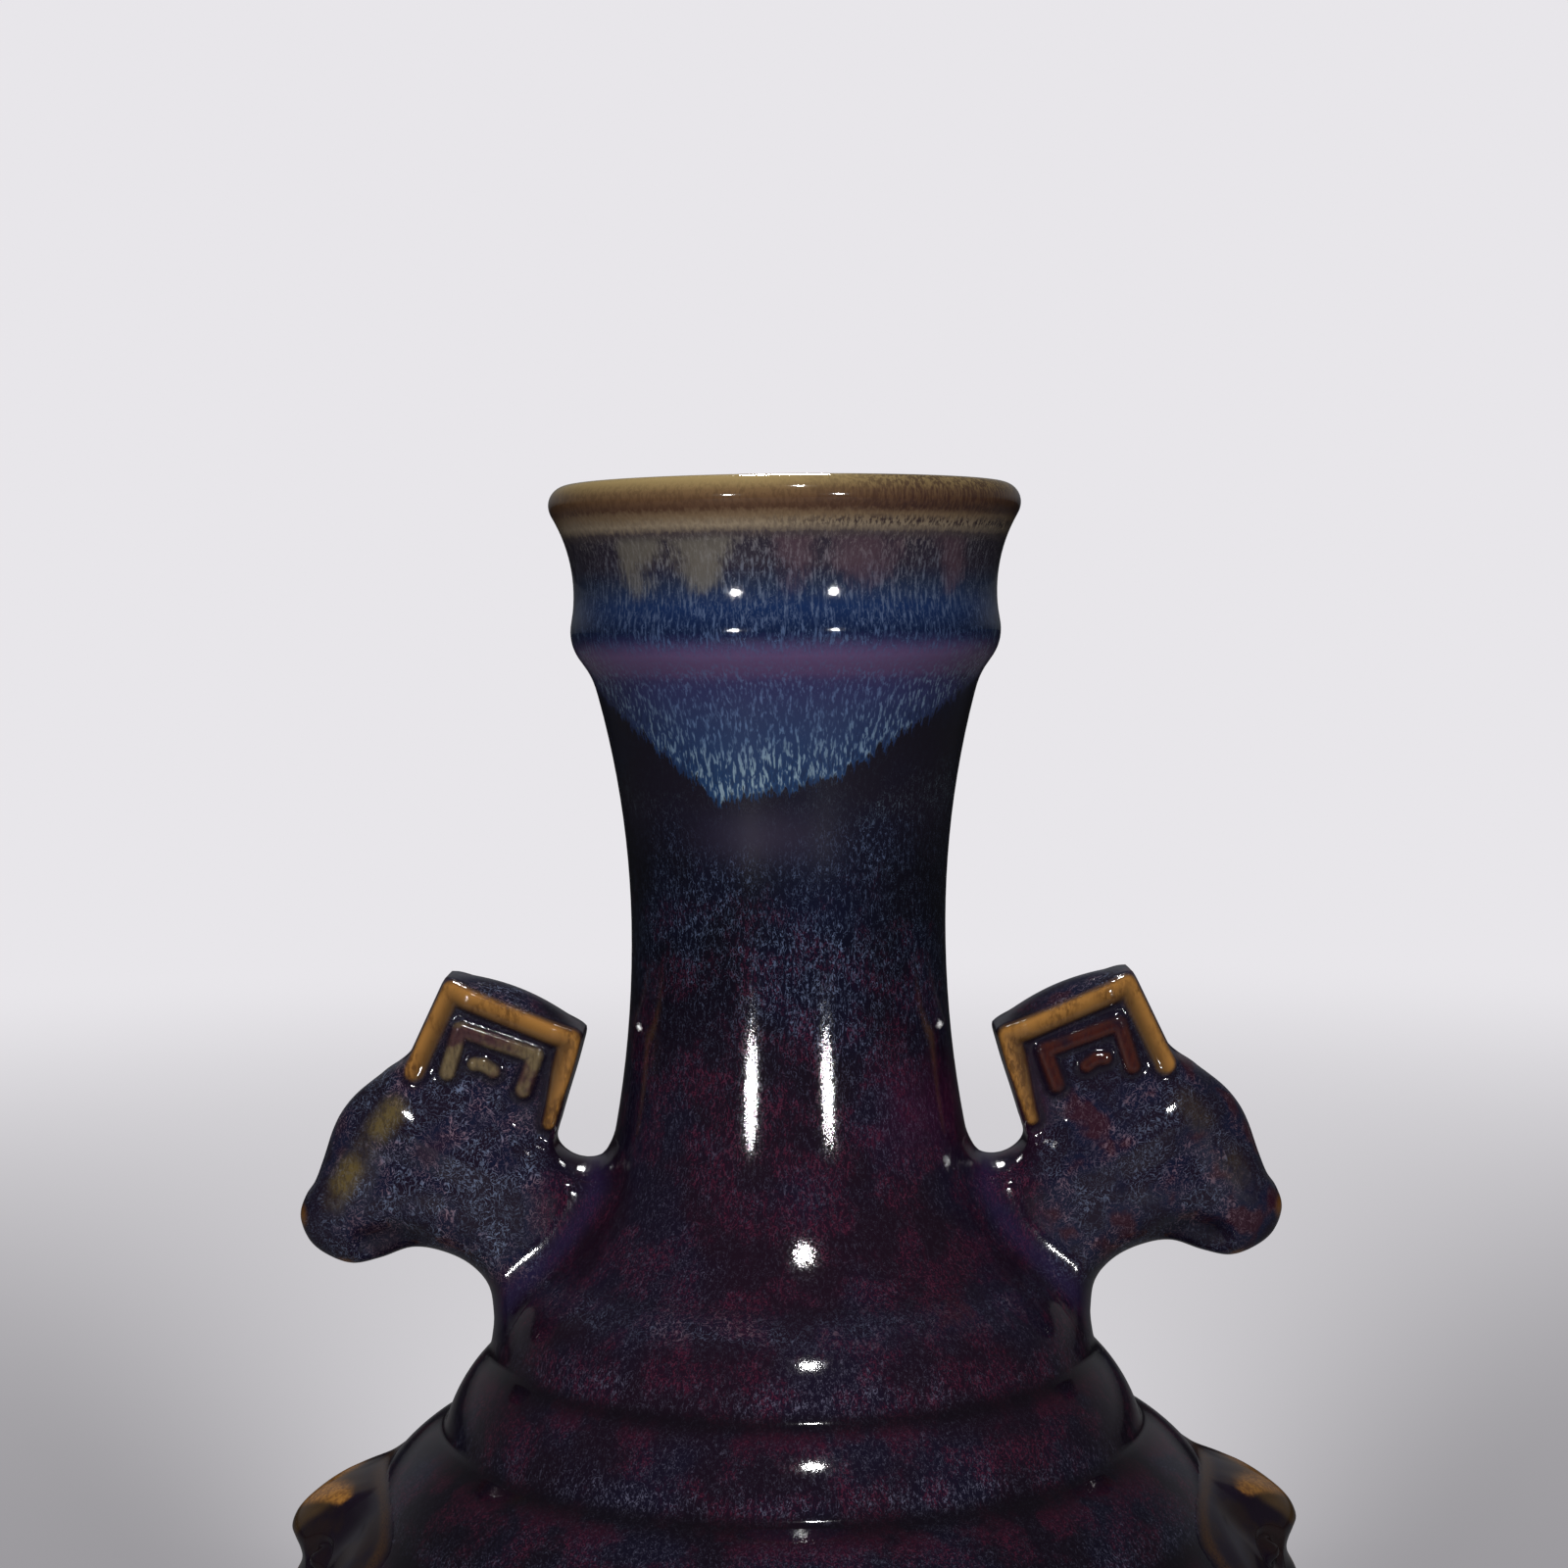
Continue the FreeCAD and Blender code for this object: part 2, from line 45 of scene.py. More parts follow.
# The thrown outline, from the recess under the foot up to the rim and down the inside. A turn is
# (radius, height, how the clay runs to it): a number is the level of a round stretch's centre, a
# pair is (its radius, the side its centre is on), and None is straight.
FOOT = [
    (0.0, 5.4, None),
    (44.5, 5.4, None),
    (46.0, 0.0, None),
    (51.5, 0.0, None),
    (53.0, 1.5, None),
    (53.0, 7.0, None),
    (50.5, 12.2, (8.0, -1)),
]
OUTSIDE = [
    (89.0, 128.0, 128.0),
    (74.3, 164.2, 128.0),
    (60.9, 177.0, (26.0, 1)),
    (52.4, 190.4, (26.0, 1)),
    (42.5, 205.5, (26.0, 1)),
    (30.4, 229.0, (46.0, -1)),
    (27.3, 263.0, 263.0),
    (33.0, 305.3, 263.0),
    (35.1, 309.3, (12.0, -1)),
    (36.85, 317.3, 314.8),
    (39.9, 334.1, 321.2),
    (37.3, 340.0, 336.5),
]
INSIDE = [
    (33.8, 336.5, (3.5, 1)),
    (32.05, 317.3, None),
    (22.5, 294.0, None),
    (22.5, 229.0, None),
    (35.9, 205.5, None),
    (67.7, 164.2, (150.0, 1)),
    (83.0, 137.0, None),
    (83.0, 107.0, None),
    (48.5, 22.5, 107.0),
    (37.0, 13.0, (13.0, -1)),
    (0.0, 13.0, None),
]
CORNER_MELT = 0.9
BODY_TOLERANCE = 0.012
BODY_LONGEST = 4.5
SIDES = 240

# An ear, seen from its side: places are (distance from the vase's axis, height).
HEAD = [
    (24.0, 226.0), (33.0, 222.5), (41.0, 225.0), (50.0, 231.5), (60.0, 236.6), (68.0, 239.2),
    (71.8, 237.8), (75.6, 235.0), (78.3, 231.8), (80.1, 228.2), (81.6, 223.4), (83.0, 219.7),
    (84.9, 217.0), (85.9, 213.4), (84.4, 209.2), (81.2, 206.5), (76.8, 205.0), (71.8, 206.0),
    (66.4, 207.8), (61.4, 207.2), (56.6, 205.0), (53.0, 201.2), (50.8, 196.0), (46.0, 186.0),
    (24.0, 186.0),
]
HORN = [(35.6, 245.7), (59.3, 255.7), (71.4, 230.0), (43.6, 218.0)]
FRAME_PATH = [(64.6, 240.0), (58.2, 253.4), (37.8, 244.8), (41.7, 230.4)]
SCROLL_PATH = [(58.9, 239.6), (56.6, 247.0), (43.7, 242.4), (45.9, 236.4)]
HOOK_PATH = [(54.2, 241.0), (52.6, 240.9), (51.0, 239.7)]
BRIDGE_PATH = [(68.0, 233.4), (71.6, 229.0), (75.0, 224.4), (77.6, 219.9), (79.0, 216.8)]
HORN_HALF = 7.7
HORN_CROWN = 2.3
RELIEF = 1.1
FRAME_HALF = 1.8
SCROLL_HALF = 1.3
HOOK_HALF = 1.1
EAR_FILLET = 7.0

# A mask boss, seen from its front: places are (distance from its middle line, height over MASK_LEVEL).
# The two profiles, of its middle line and of its bed on the wall, are (height, distance from the axis).
MASK_LEVEL = 153.5
MASK_HALF_WIDTH = 36.0
MASK_HALF_HEIGHT = 17.8
MASK_DROP = 1.8
MASK_POWER = 3.5
PLATE_RELIEF = 1.2
MASK_FILLET = 1.6
MASK_FRONT = [
    (134.0, 88.2), (140.0, 88.1), (146.0, 88.0), (149.5, 87.0), (152.3, 85.6), (154.2, 85.3),
    (155.8, 85.8), (157.5, 86.7), (159.0, 87.1), (161.6, 85.9), (164.2, 83.2), (166.2, 79.6),
    (167.9, 75.0), (170.0, 70.0), (173.5, 64.0),
]
MASK_BED = [
    (134.0, 88.3), (138.0, 88.0), (144.0, 86.5), (150.0, 84.1), (156.0, 80.8), (160.0, 78.0),
    (164.0, 74.6), (168.0, 71.9), (173.5, 66.0),
]
BROW_PATH = [(0.0, 10.6), (3.5, 11.6), (7.0, 12.4), (11.0, 12.6)]
LIP_PATH = [(0.0, -11.6), (9.0, -12.2), (18.0, -14.6)]
NOSE_PATH = [(0.0, 3.0), (0.0, -3.5)]
WIDEST = 88.9


# Curves and distances.

FINE = 0.4


def run_of(here, there, way, step=FINE):
    """Places along the clay's outline from here to there, the first one left out."""
    a, b = np.array(here, float), np.array(there, float)
    if way is None:
        count = max(2, int(np.hypot(*(b - a)) / step))
        return [a + (b - a) * i / count for i in range(1, count + 1)]
    if isinstance(way, tuple):
        radius, side = way
        half = np.hypot(*(b - a)) / 2
        across = np.array([a[1] - b[1], b[0] - a[0]]) / (2 * half)
        centre = (a + b) / 2 + across * math.sqrt(radius**2 - half**2) * side
    else:
        far = b[0] ** 2 - a[0] ** 2 + (b[1] - way) ** 2 - (a[1] - way) ** 2
        centre = np.array([far / (2 * (b[0] - a[0])), way])
    begin, finish = (math.atan2(p[1] - centre[1], p[0] - centre[0]) for p in (a, b))
    turn = (finish - begin + math.pi) % (2 * math.pi) - math.pi
    reach = np.hypot(*(a - centre))
    count = max(2, int(abs(turn) * reach / step))
    angles = [begin + turn * i / count for i in range(1, count + 1)]
    return [centre + reach * np.array([math.cos(t), math.sin(t)]) for t in angles]


def softened(line, width):
    """A finely divided line with its corners rounded by averaging along it."""
    reach = int(3 * width / FINE)
    weights = np.exp(-0.5 * (np.arange(-reach, reach + 1) * FINE / width) ** 2)
    weights /= weights.sum()
    padded = np.pad(line, ((reach, reach), (0, 0)), mode="reflect", reflect_type="odd")
    return np.stack([np.convolve(padded[:, i], weights, mode="valid") for i in (0, 1)], axis=1)


def thinned(line, tolerance, longest):
    """The line with only the places that its shape needs."""
    kept, start = [0], 0
    while start < len(line) - 1:
        end = start + 1
        while end + 1 < len(line):
            chord = line[end + 1] - line[start]
            length = np.hypot(*chord)
            between = line[start + 1 : end + 1] - line[start]
            off = np.abs(between[:, 0] * chord[1] - between[:, 1] * chord[0]) / max(length, 1e-9)
            if length > longest or off.max() > tolerance:
                break
            end += 1
        kept.append(end)
        start = end
    return line[kept]


def thrown(turns, start):
    """The finely divided outline through a row of turns."""
    places = [np.array(start, float)]
    for across, up, way in turns:
        places += run_of(places[-1], (across, up), way)
    return np.array(places)


def round_path(corners, closed=False, step=24):
    """A smooth curve through given corners."""
    points = [np.array(c, float) for c in corners]
    count = len(points)
    spans = range(count if closed else count - 1)
    smooth = []
    for i in spans:
        if closed:
            p = [points[(i + k) % count] for k in (-1, 0, 1, 2)]
        else:
            p = [points[min(max(i + k, 0), count - 1)] for k in (-1, 0, 1, 2)]
        for t in np.arange(step) / step:
            smooth.append(
                0.5
                * (
                    2 * p[1]
                    + (p[2] - p[0]) * t
                    + (2 * p[0] - 5 * p[1] + 4 * p[2] - p[3]) * t**2
                    + (3 * p[1] - p[0] - 3 * p[2] + p[3]) * t**3
                )
            )
    if not closed:
        smooth.append(points[-1])
    return np.array(smooth)


def path_distance(across, up, path):
    """How far places are from a path, and how far along it the nearest point lies, from 0 to 1."""
    nearest = np.full(np.broadcast(across, up).shape, 1e9)
    along = np.zeros_like(nearest)
    path = np.array(path, float)
    lengths = np.hypot(*(path[1:] - path[:-1]).T)
    passed, total = 0.0, lengths.sum()
    for a, b, length in zip(path[:-1], path[1:], lengths):
        run = b - a
        t = ((across - a[0]) * run[0] + (up - a[1]) * run[1]) / max(run @ run, 1e-12)
        t = np.clip(t, 0, 1)
        off = np.hypot(across - a[0] - t * run[0], up - a[1] - t * run[1])
        closer = off < nearest
        nearest = np.where(closer, off, nearest)
        along = np.where(closer, (passed + t * length) / total, along)
        passed += length
    return nearest, along


def outline_distance(across, up, outline):
    """How far places are outside a closed outline, and negative inside it."""
    closed = np.vstack([outline, outline[:1]])
    off, _ = path_distance(across, up, closed)
    inside = np.zeros(off.shape, bool)
    for a, b in zip(closed[:-1], closed[1:]):
        spans = (a[1] > up) != (b[1] > up)
        rise = b[1] - a[1]
        level = a[0] + (b[0] - a[0]) * (up - a[1]) / (rise if abs(rise) > 1e-12 else 1e-12)
        inside ^= spans & (across < level)
    return np.where(inside, -off, off)


def melted(a, b, width):
    """Two forms joined, with a soft fillet of about that width between them."""
    near = np.clip(width - np.abs(a - b), 0, None) / width
    return np.minimum(a, b) - near**2 * width / 4


def slab(plan, depth, edge):
    """A form with a plan, a half-thickness that depth is measured from, and rounded edges."""
    a, b = plan + edge, depth + edge
    return np.hypot(np.clip(a, 0, None), np.clip(b, 0, None)) + np.minimum(np.maximum(a, b), 0) - edge


def ramp(value, low, high):
    """A soft step from 0 at low to 1 at high."""
    t = np.clip((value - low) / (high - low), 0, 1)
    return t * t * (3 - 2 * t)


# The vase's outline.

foot_line = thrown(FOOT[1:], FOOT[0][:2])
outer_line = thrown(OUTSIDE, foot_line[-1])
inner_line = thrown(INSIDE, outer_line[-1])
sharp = np.vstack([foot_line, outer_line[1:], inner_line[1:]])
whole_line = softened(sharp, CORNER_MELT)
whole_line[0], whole_line[-1] = sharp[0], sharp[-1]
whole_line[:, 1] *= sharp[:, 1].max() / whole_line[:, 1].max()
first = int(np.argmax(whole_line[:, 0] > 52.0))
rim = int(np.argmax(whole_line[:, 1]))
skin_line = whole_line[first:rim]
skin_line = skin_line[np.concatenate([[True], np.diff(skin_line[:, 1]) > 1e-6])]


def wall_radius(height):
    """The vase's outer radius at a height."""
    return np.interp(height, skin_line[:, 1], skin_line[:, 0])


def wall_slant(height):
    """The outward and the upward part of the wall's direction of facing at a height."""
    slope = (wall_radius(height + 0.2) - wall_radius(height - 0.2)) / 0.4
    length = np.hypot(1, slope)
    return 1 / length, -slope / length


class Wall:
    """Distances outside the vase's wall, read from a fine grid of them."""

    def __init__(self, low, high, step=0.25):
        self.low, self.step = np.array(low, float), step
        across = np.arange(low[0], high[0], step)
        up = np.arange(low[1], high[1], step)
        near = (skin_line[:, 1] > low[1] - 15) & (skin_line[:, 1] < high[1] + 15)
        line = thinned(skin_line[near], 0.004, 3.0)
        off, _ = path_distance(across[:, None], up[None, :], line)
        self.grid = np.where(across[:, None] < wall_radius(up)[None, :], -off, off)

    def distance(self, x, y, z):
        radius = np.hypot(x, y)
        a = np.clip((radius - self.low[0]) / self.step, 0, self.grid.shape[0] - 1.001)
        b = np.clip((z - self.low[1]) / self.step, 0, self.grid.shape[1] - 1.001)
        a, b = np.broadcast_arrays(a, b)
        i, j = a.astype(int), b.astype(int)
        s, t = a - i, b - j
        g = self.grid
        return (
            g[i, j] * (1 - s) * (1 - t)
            + g[i + 1, j] * s * (1 - t)
            + g[i, j + 1] * (1 - s) * t
            + g[i + 1, j + 1] * s * t
        )


# Meshes.


def make_piece(name, places, faces, marks=None):
    """A smooth piece of the vase from its places in millimetres, with marks for the glaze."""
    mesh = bpy.data.meshes.new(name)
    mesh.from_pydata((places * MM).tolist(), [], faces)
    mesh.polygons.foreach_set("use_smooth", [True] * len(mesh.polygons))
    for mark, values in (marks or {}).items():
        layer = mesh.attributes.new(mark, "FLOAT", "POINT")
        layer.data.foreach_set("value", np.asarray(values, np.float32))
    mesh.update()
    piece = bpy.data.objects.new(name, mesh)
    bpy.context.scene.collection.objects.link(piece)
    return piece


def turned(name, line, sides):
    """A line turned about the vase's axis, closed at both ends on the axis."""
    angles = np.arange(sides) * 2 * math.pi / sides
    rings = line[1:-1]
    places = np.stack(
        [
            rings[:, :1] * np.cos(angles),
            rings[:, :1] * np.sin(angles),
            np.repeat(rings[:, 1:], sides, axis=1),
        ],
        axis=2,
    ).reshape(-1, 3)
    ends = np.array([[0, 0, line[0, 1]], [0, 0, line[-1, 1]]])
    faces = []
    for ring in range(len(rings) - 1):
        for side in range(sides):
            a, b = ring * sides + side, ring * sides + (side + 1) % sides
            faces.append((a, b, b + sides, a + sides))
    low, high = len(places), len(places) + 1
    last = (len(rings) - 1) * sides
    for side in range(sides):
        faces.append((low, (side + 1) % sides, side))
        faces.append((high, last + side, last + (side + 1) % sides))
    return make_piece(name, np.vstack([places, ends]), faces)


def skinned(field, low, high, step):
    """The surface of a form given by distances, as places and four-sided faces."""
    x, y, z = (np.arange(a, b + step, step) for a, b in zip(low, high))
    grid = field(x[:, None, None], y[None, :, None], z[None, None, :])
    inside = grid < 0
    cells = tuple(n - 1 for n in grid.shape)
    total, count = np.zeros(cells + (3,)), np.zeros(cells)
    crossings = []
    for axis in range(3):
        fore = [slice(None)] * 3
        back = [slice(None)] * 3
        fore[axis], back[axis] = slice(1, None), slice(None, -1)
        g0, g1 = grid[tuple(back)], grid[tuple(fore)]
        cross = inside[tuple(back)] != inside[tuple(fore)]
        t = np.where(cross, g0 / np.where(cross, g0 - g1, 1), 0)
        where = np.stack(np.meshgrid(*(np.arange(n) for n in g0.shape), indexing="ij"), axis=-1).astype(float)
        where[..., axis] += t
        where *= cross[..., None]
        sides = [a for a in range(3) if a != axis]
        for first_shift in (0, 1):
            for second_shift in (0, 1):
                part = [slice(None)] * 3
                for side, shift in zip(sides, (first_shift, second_shift)):
                    part[side] = slice(shift, shift + cells[side])
                total += where[tuple(part)]
                count += cross[tuple(part)]
        crossings.append((axis, sides, cross, inside[tuple(back)]))
    mixed = count > 0
    number = np.full(cells, -1)
    number[mixed] = np.arange(mixed.sum())
    places = total[mixed] / count[mixed][:, None] * step + np.array(low)
    faces = []
    for axis, (u, v), cross, inner in crossings:
        spots = np.argwhere(cross)
        spots = spots[(spots[:, u] > 0) & (spots[:, v] > 0)]
        spots = spots[(spots[:, u] < cells[u]) & (spots[:, v] < cells[v])]
        corners = []
        for du, dv in ((1, 1), (0, 1), (0, 0), (1, 0)):
            cell = spots.copy()
            cell[:, u] -= du
            cell[:, v] -= dv
            corners.append(number[tuple(cell.T)])
        quads = np.stack(corners, axis=1)
        flip = inner[tuple(spots.T)] == (axis == 1)
        quads[flip] = quads[flip][:, ::-1]
        faces.append(quads)
    return places, np.vstack(faces)


def settled(field, places, rounds=4, reach=0.05):
    """Places moved onto a form's surface, and the directions it faces there."""
    for _ in range(rounds):
        value = field(*places.T)
        facing = np.stack(
            [
                field(*(places + shift).T) - field(*(places - shift).T)
                for shift in np.eye(3) * reach
            ],
            axis=1,
        ) / (2 * reach)
        size = np.maximum((facing**2).sum(axis=1), 0.05)
        places = places - np.clip(value / size, -0.4, 0.4)[:, None] * facing
    return places, facing / np.linalg.norm(facing, axis=1)[:, None]


def only_used(places, faces, marks):
    """The mesh without the places that no face uses."""
    used = np.unique(faces)
    number = np.full(len(places), -1)
    number[used] = np.arange(len(used))
    return places[used], number[faces], {name: values[used] for name, values in marks.items()}


# An ear.

ear_wall = Wall((20.0, 178.0), (100.0, 266.0))
head_outline = round_path(HEAD, closed=True, step=6)
bridge_path = round_path(BRIDGE_PATH, step=6)


def horn_plan(x, y, z):
    """Distances outside the horn's outline, crowned on top, and how far across it places lie."""
    (a, b), (c, d) = HORN[0], HORN[1]
    length = math.hypot(c - a, d - b)
    run = ((c - a) / length, (d - b) / length)
    across = (x - a) * run[0] + (z - b) * run[1]
    up = (z - b) * run[0] - (x - a) * run[1]
    middle = 2 * across / length - 1
    crown = HORN_CROWN * np.clip(1 - middle**2, 0, 1) * np.clip(1 - (y / 7.2) ** 2, 0, 1) * ramp(up, -5, 0)
    plan = outline_distance(x + crown * run[1], z - crown * run[0], np.array(HORN, float))
    return plan, np.abs(middle)


def ear_only(x, y, z):
    """Distances outside an ear by itself: the head with its ridge, the horn and its relief."""
    side = np.abs(y)
    plan = outline_distance(x, z, head_outline)

    # half the head's thickness, less at its muzzle, jaw and brow, and how far in its edge is rounded
    half = 10.0 - 4.4 * ramp(x, 57, 82) - 0.8 * ramp(z, 222, 205) - 1.4 * ramp(z, 214, 240)
    reach = 8.6 - 1.8 * ramp(x, 66, 85) - 4.4 * ramp(x, 56, 48)
    head = (np.hypot(np.clip(plan + reach, 0, None) / reach, side / half) - 1) * half

    # the ridge from brow to nose, and the hollow over the jaw
    ridge, along = path_distance(x, z, bridge_path)
    lift = np.hypot(ridge, side - half + 3.1) - (2.6 - 0.6 * along)
    head = melted(head, lift, 4.5)
    jaw, _ = path_distance(x, z, [(65.5, 209.8), (69.5, 211.0), (73.5, 209.4)])
    hollow = np.hypot(jaw, (side - half - 0.4) * 0.8) - 2.5
    head = -melted(-head, hollow, 2.4)

    # the horn, with its frame, scroll and hook standing off its faces
    plan, aside = horn_plan(x, y, z)
    face = side - HORN_HALF + 1.9 * ramp(aside, 0.55, 1.05)
    horn = slab(plan, face, 1.6)
    off, along = path_distance(x, z, FRAME_PATH)
    width = FRAME_HALF - 0.7 * ramp(along, 0.78, 1.0)
    ridges = slab(off - width, face - RELIEF, 0.95)
    off, _ = path_distance(x, z, SCROLL_PATH)
    ridges = np.minimum(ridges, slab(off - SCROLL_HALF, face - RELIEF + 0.15, 0.8))
    off, _ = path_distance(x, z, HOOK_PATH)
    ridges = np.minimum(ridges, slab(off - HOOK_HALF, face - RELIEF + 0.25, 0.8))
    horn = melted(horn, ridges, 1.0)
    return melted(head, horn, 5.0)


def ear_on_wall(x, y, z):
    """Distances outside an ear that has grown together with the wall."""
    return melted(ear_only(x, y, z), ear_wall.distance(x, y, z), EAR_FILLET)


def grown(field, wall, low, high, step):
    """The skin of a form that grows out of the wall, and how far it stands off the bare wall."""
    places, faces = skinned(field, low, high, step)
    places, facing = settled(field, places)
    proud = wall.distance(*places.T)
    faces = faces[(proud[faces] > 0.03).any(axis=1)]
    edge_of = np.zeros(len(places), bool)
    edge_of[faces[(proud[faces] <= 0.03).any(axis=1)].ravel()] = True
    sunk = edge_of & (proud <= 0.03)
    return np.where(sunk[:, None], places - 0.12 * facing, places), faces, proud


def ear_form():
    """An ear on the +X side, with marks for where its glaze runs thin, scrolls and pools, and for painted
    shade in its recesses and jaw.
    """
    step = 0.5
    places, faces, proud = grown(ear_on_wall, ear_wall, (24.0, -16.0, 184.0), (89.0, 16.0, 260.0), step)
    x, y, z = places.T
    outer = ramp(np.abs(y), HORN_HALF - 3.2, HORN_HALF - 1.8)
    frame_off, along = path_distance(x, z, FRAME_PATH)
    width = FRAME_HALF - 0.7 * ramp(along, 0.78, 1.0)
    gilt = (1 - ramp(frame_off, width - 0.5, width + 0.35)) * outer
    inwards = -outline_distance(x, z, np.array(HORN, float))
    off, _ = path_distance(x, z, SCROLL_PATH)
    hook_off, _ = path_distance(x, z, HOOK_PATH)
    scroll = (1 - ramp(np.minimum(off, hook_off + 0.2), 0.8, 1.7)) * outer
    gap = np.minimum(frame_off - width, np.minimum(off, hook_off) - SCROLL_HALF)
    bend = sum(ear_on_wall(*(places + s).T) + ear_on_wall(*(places - s).T) for s in np.eye(3) * 0.9)
    off, along = path_distance(x, z, bridge_path)
    patch = (1 - ramp(np.abs(along - 0.12), 0.06, 0.26)) + (1 - ramp(np.abs(along - 0.74), 0.04, 0.24))
    bridge = (1 - ramp(off, 0.2, 3.6)) * ramp(np.abs(y), 1.0, 3.0) * np.clip(patch + 0.25, 0, 1)
    nose = 1 - ramp(np.hypot(np.hypot(x - 85.6, z - 213.8), y * 0.6), 1.0, 3.0)
    chin = 1 - ramp(np.hypot(np.hypot(x - 78.0, z - 205.0), y * 0.5), 0.8, 2.4)
    jaw = np.hypot((x - 69.5) / 7.0, (z - 209.6) / 3.4)
    marks = {
        "gilt": gilt,
        "edge": ramp(inwards, 3.4, 0.4),
        "scroll": scroll,
        "crest": ramp(bend / 0.81, 0.45, 1.1),
        # painted shade beside the horn's ridges
        "recess": ramp(gap, 1.9, 0.9) * ramp(inwards, 0.2, 0.8) * outer,
        "bridge": bridge,
        "tip": np.maximum(nose, chin),
        # painted shade in the hollow over the jaw
        "jaw": 1 - ramp(jaw, 0.5, 1.2),
        "seam": 1 - ramp(np.abs(ear_only(x, y, z) - proud), 0.0, 5.0),
    }
    return only_used(places, faces, marks)


# A mask boss.

mask_wall = Wall((46.0, 124.0), (96.0, 184.0))
mask_front = round_path(MASK_FRONT, step=8)
mask_bed = round_path(MASK_BED, step=8)
brow_path = round_path(BROW_PATH, step=6)
lip_path = round_path(LIP_PATH, step=6)


def plate_reach(s, t):
    """How far out on a mask's plate places lie, from 0 in the middle to 1 at its edge."""
    across, up = np.abs(s) / MASK_HALF_WIDTH, np.abs(t + MASK_DROP) / MASK_HALF_HEIGHT
    return (across**MASK_POWER + up**MASK_POWER) ** (1 / MASK_POWER)


def mask_relief(s, t):
    """How far a beast mask's front lies from the axis, at a distance from its middle and a height."""
    side = np.abs(s)
    height = MASK_LEVEL + t
    bed = np.interp(height, mask_bed[:, 0], mask_bed[:, 1])
    front = np.interp(height, mask_front[:, 0], mask_front[:, 1])
    relief = PLATE_RELIEF * ramp(plate_reach(s, t), 1.0, 0.8)
    relief = relief + (front - bed) * (1 - ramp(side, 0.0, 21.0))
    brow, _ = path_distance(side, t, brow_path)
    relief = relief + 1.0 * ramp(brow, 2.8, 0.3) * ramp(side, 1.5, 8.0)
    eye = np.hypot(side - 13.5, (t - 3.0) * 1.15)
    relief = relief - 1.3 * ramp(eye, 5.2, 3.0) + 1.9 * ramp(eye, 3.0, 0.6)
    cheek = np.hypot((side - 21.0) / 9.0, (t + 5.5) / 6.5)
    relief = relief + 1.6 * ramp(cheek, 1.0, 0.1)
    nostril = np.hypot(side - 4.4, t + 6.0)
    relief = relief - 0.9 * ramp(nostril, 1.6, 0.4)
    lip, _ = path_distance(side, t, lip_path)
    relief = relief + 0.8 * ramp(lip, 2.4, 0.4)
    return bed + relief


def mask_on_wall(x, y, z):
    """Distances outside a mask that has grown together with the wall."""
    radius = np.hypot(x, y)
    s, t = radius * np.arctan2(y, x), z - MASK_LEVEL
    reach = np.minimum(mask_relief(s, t), WIDEST)
    plate = slab((plate_reach(s, t) - 1) * MASK_HALF_HEIGHT, (radius - reach) * 0.75, 1.1)
    return melted(plate, mask_wall.distance(x, y, z), MASK_FILLET)


def mask_form():
    """A mask boss on the +X side, with marks for where its glaze runs thin."""
    step = 0.5
    low, high = (50.0, -38.0, 131.0), (90.5, 38.0, 174.0)
    places, faces, _ = grown(mask_on_wall, mask_wall, low, high, step)
    x, y, z = places.T
    places[:, :2] *= np.minimum(1, WIDEST / np.hypot(x, y))[:, None]
    s, t = np.hypot(x, y) * np.arctan2(y, x), z - MASK_LEVEL
    plate = plate_reach(s, t)
    brow, along = path_distance(np.abs(s), t, brow_path)
    crest = ramp(brow / (1 - 0.65 * along), 3.0, 1.0)
    nose, _ = path_distance(np.abs(s), t, NOSE_PATH)
    lip, _ = path_distance(np.abs(s), t, lip_path)
    crest = np.maximum(crest, np.maximum(ramp(nose, 3.4, 1.6), 0.7 * ramp(lip, 1.7, 0.4)))
    dome = ramp(np.abs(s) - (t + 5.0) * 0.58, 1.0, -1.5) * ramp(t, 15.0, 12.0)
    marks = {
        "crest": crest,
        "dome": dome,
        "rim": ramp(plate, 0.92, 0.97) * ramp(plate, 1.04, 0.98),
        "plate": ramp(plate, 1.06, 0.98),
    }
    return only_used(places, faces, marks)


def both_sides(name, form):
    """Two pieces of one form, on the vase's right and, mirrored, on its left."""
    places, faces, marks = form
    right = make_piece(f"right_{name}", places, faces.tolist(), marks)
    left = make_piece(f"left_{name}", places * (-1, 1, 1), faces[:, ::-1].tolist(), marks)
    return right, left


# The glaze.


def colour(red, green, blue):
    """A colour as the eye names it, from 0 to 255, as the shader wants it."""
    parts = [c / 255 for c in (red, green, blue)]
    return tuple(c / 12.92 if c <= 0.04045 else ((c + 0.055) / 1.055) ** 2.4 for c in parts) + (1.0,)


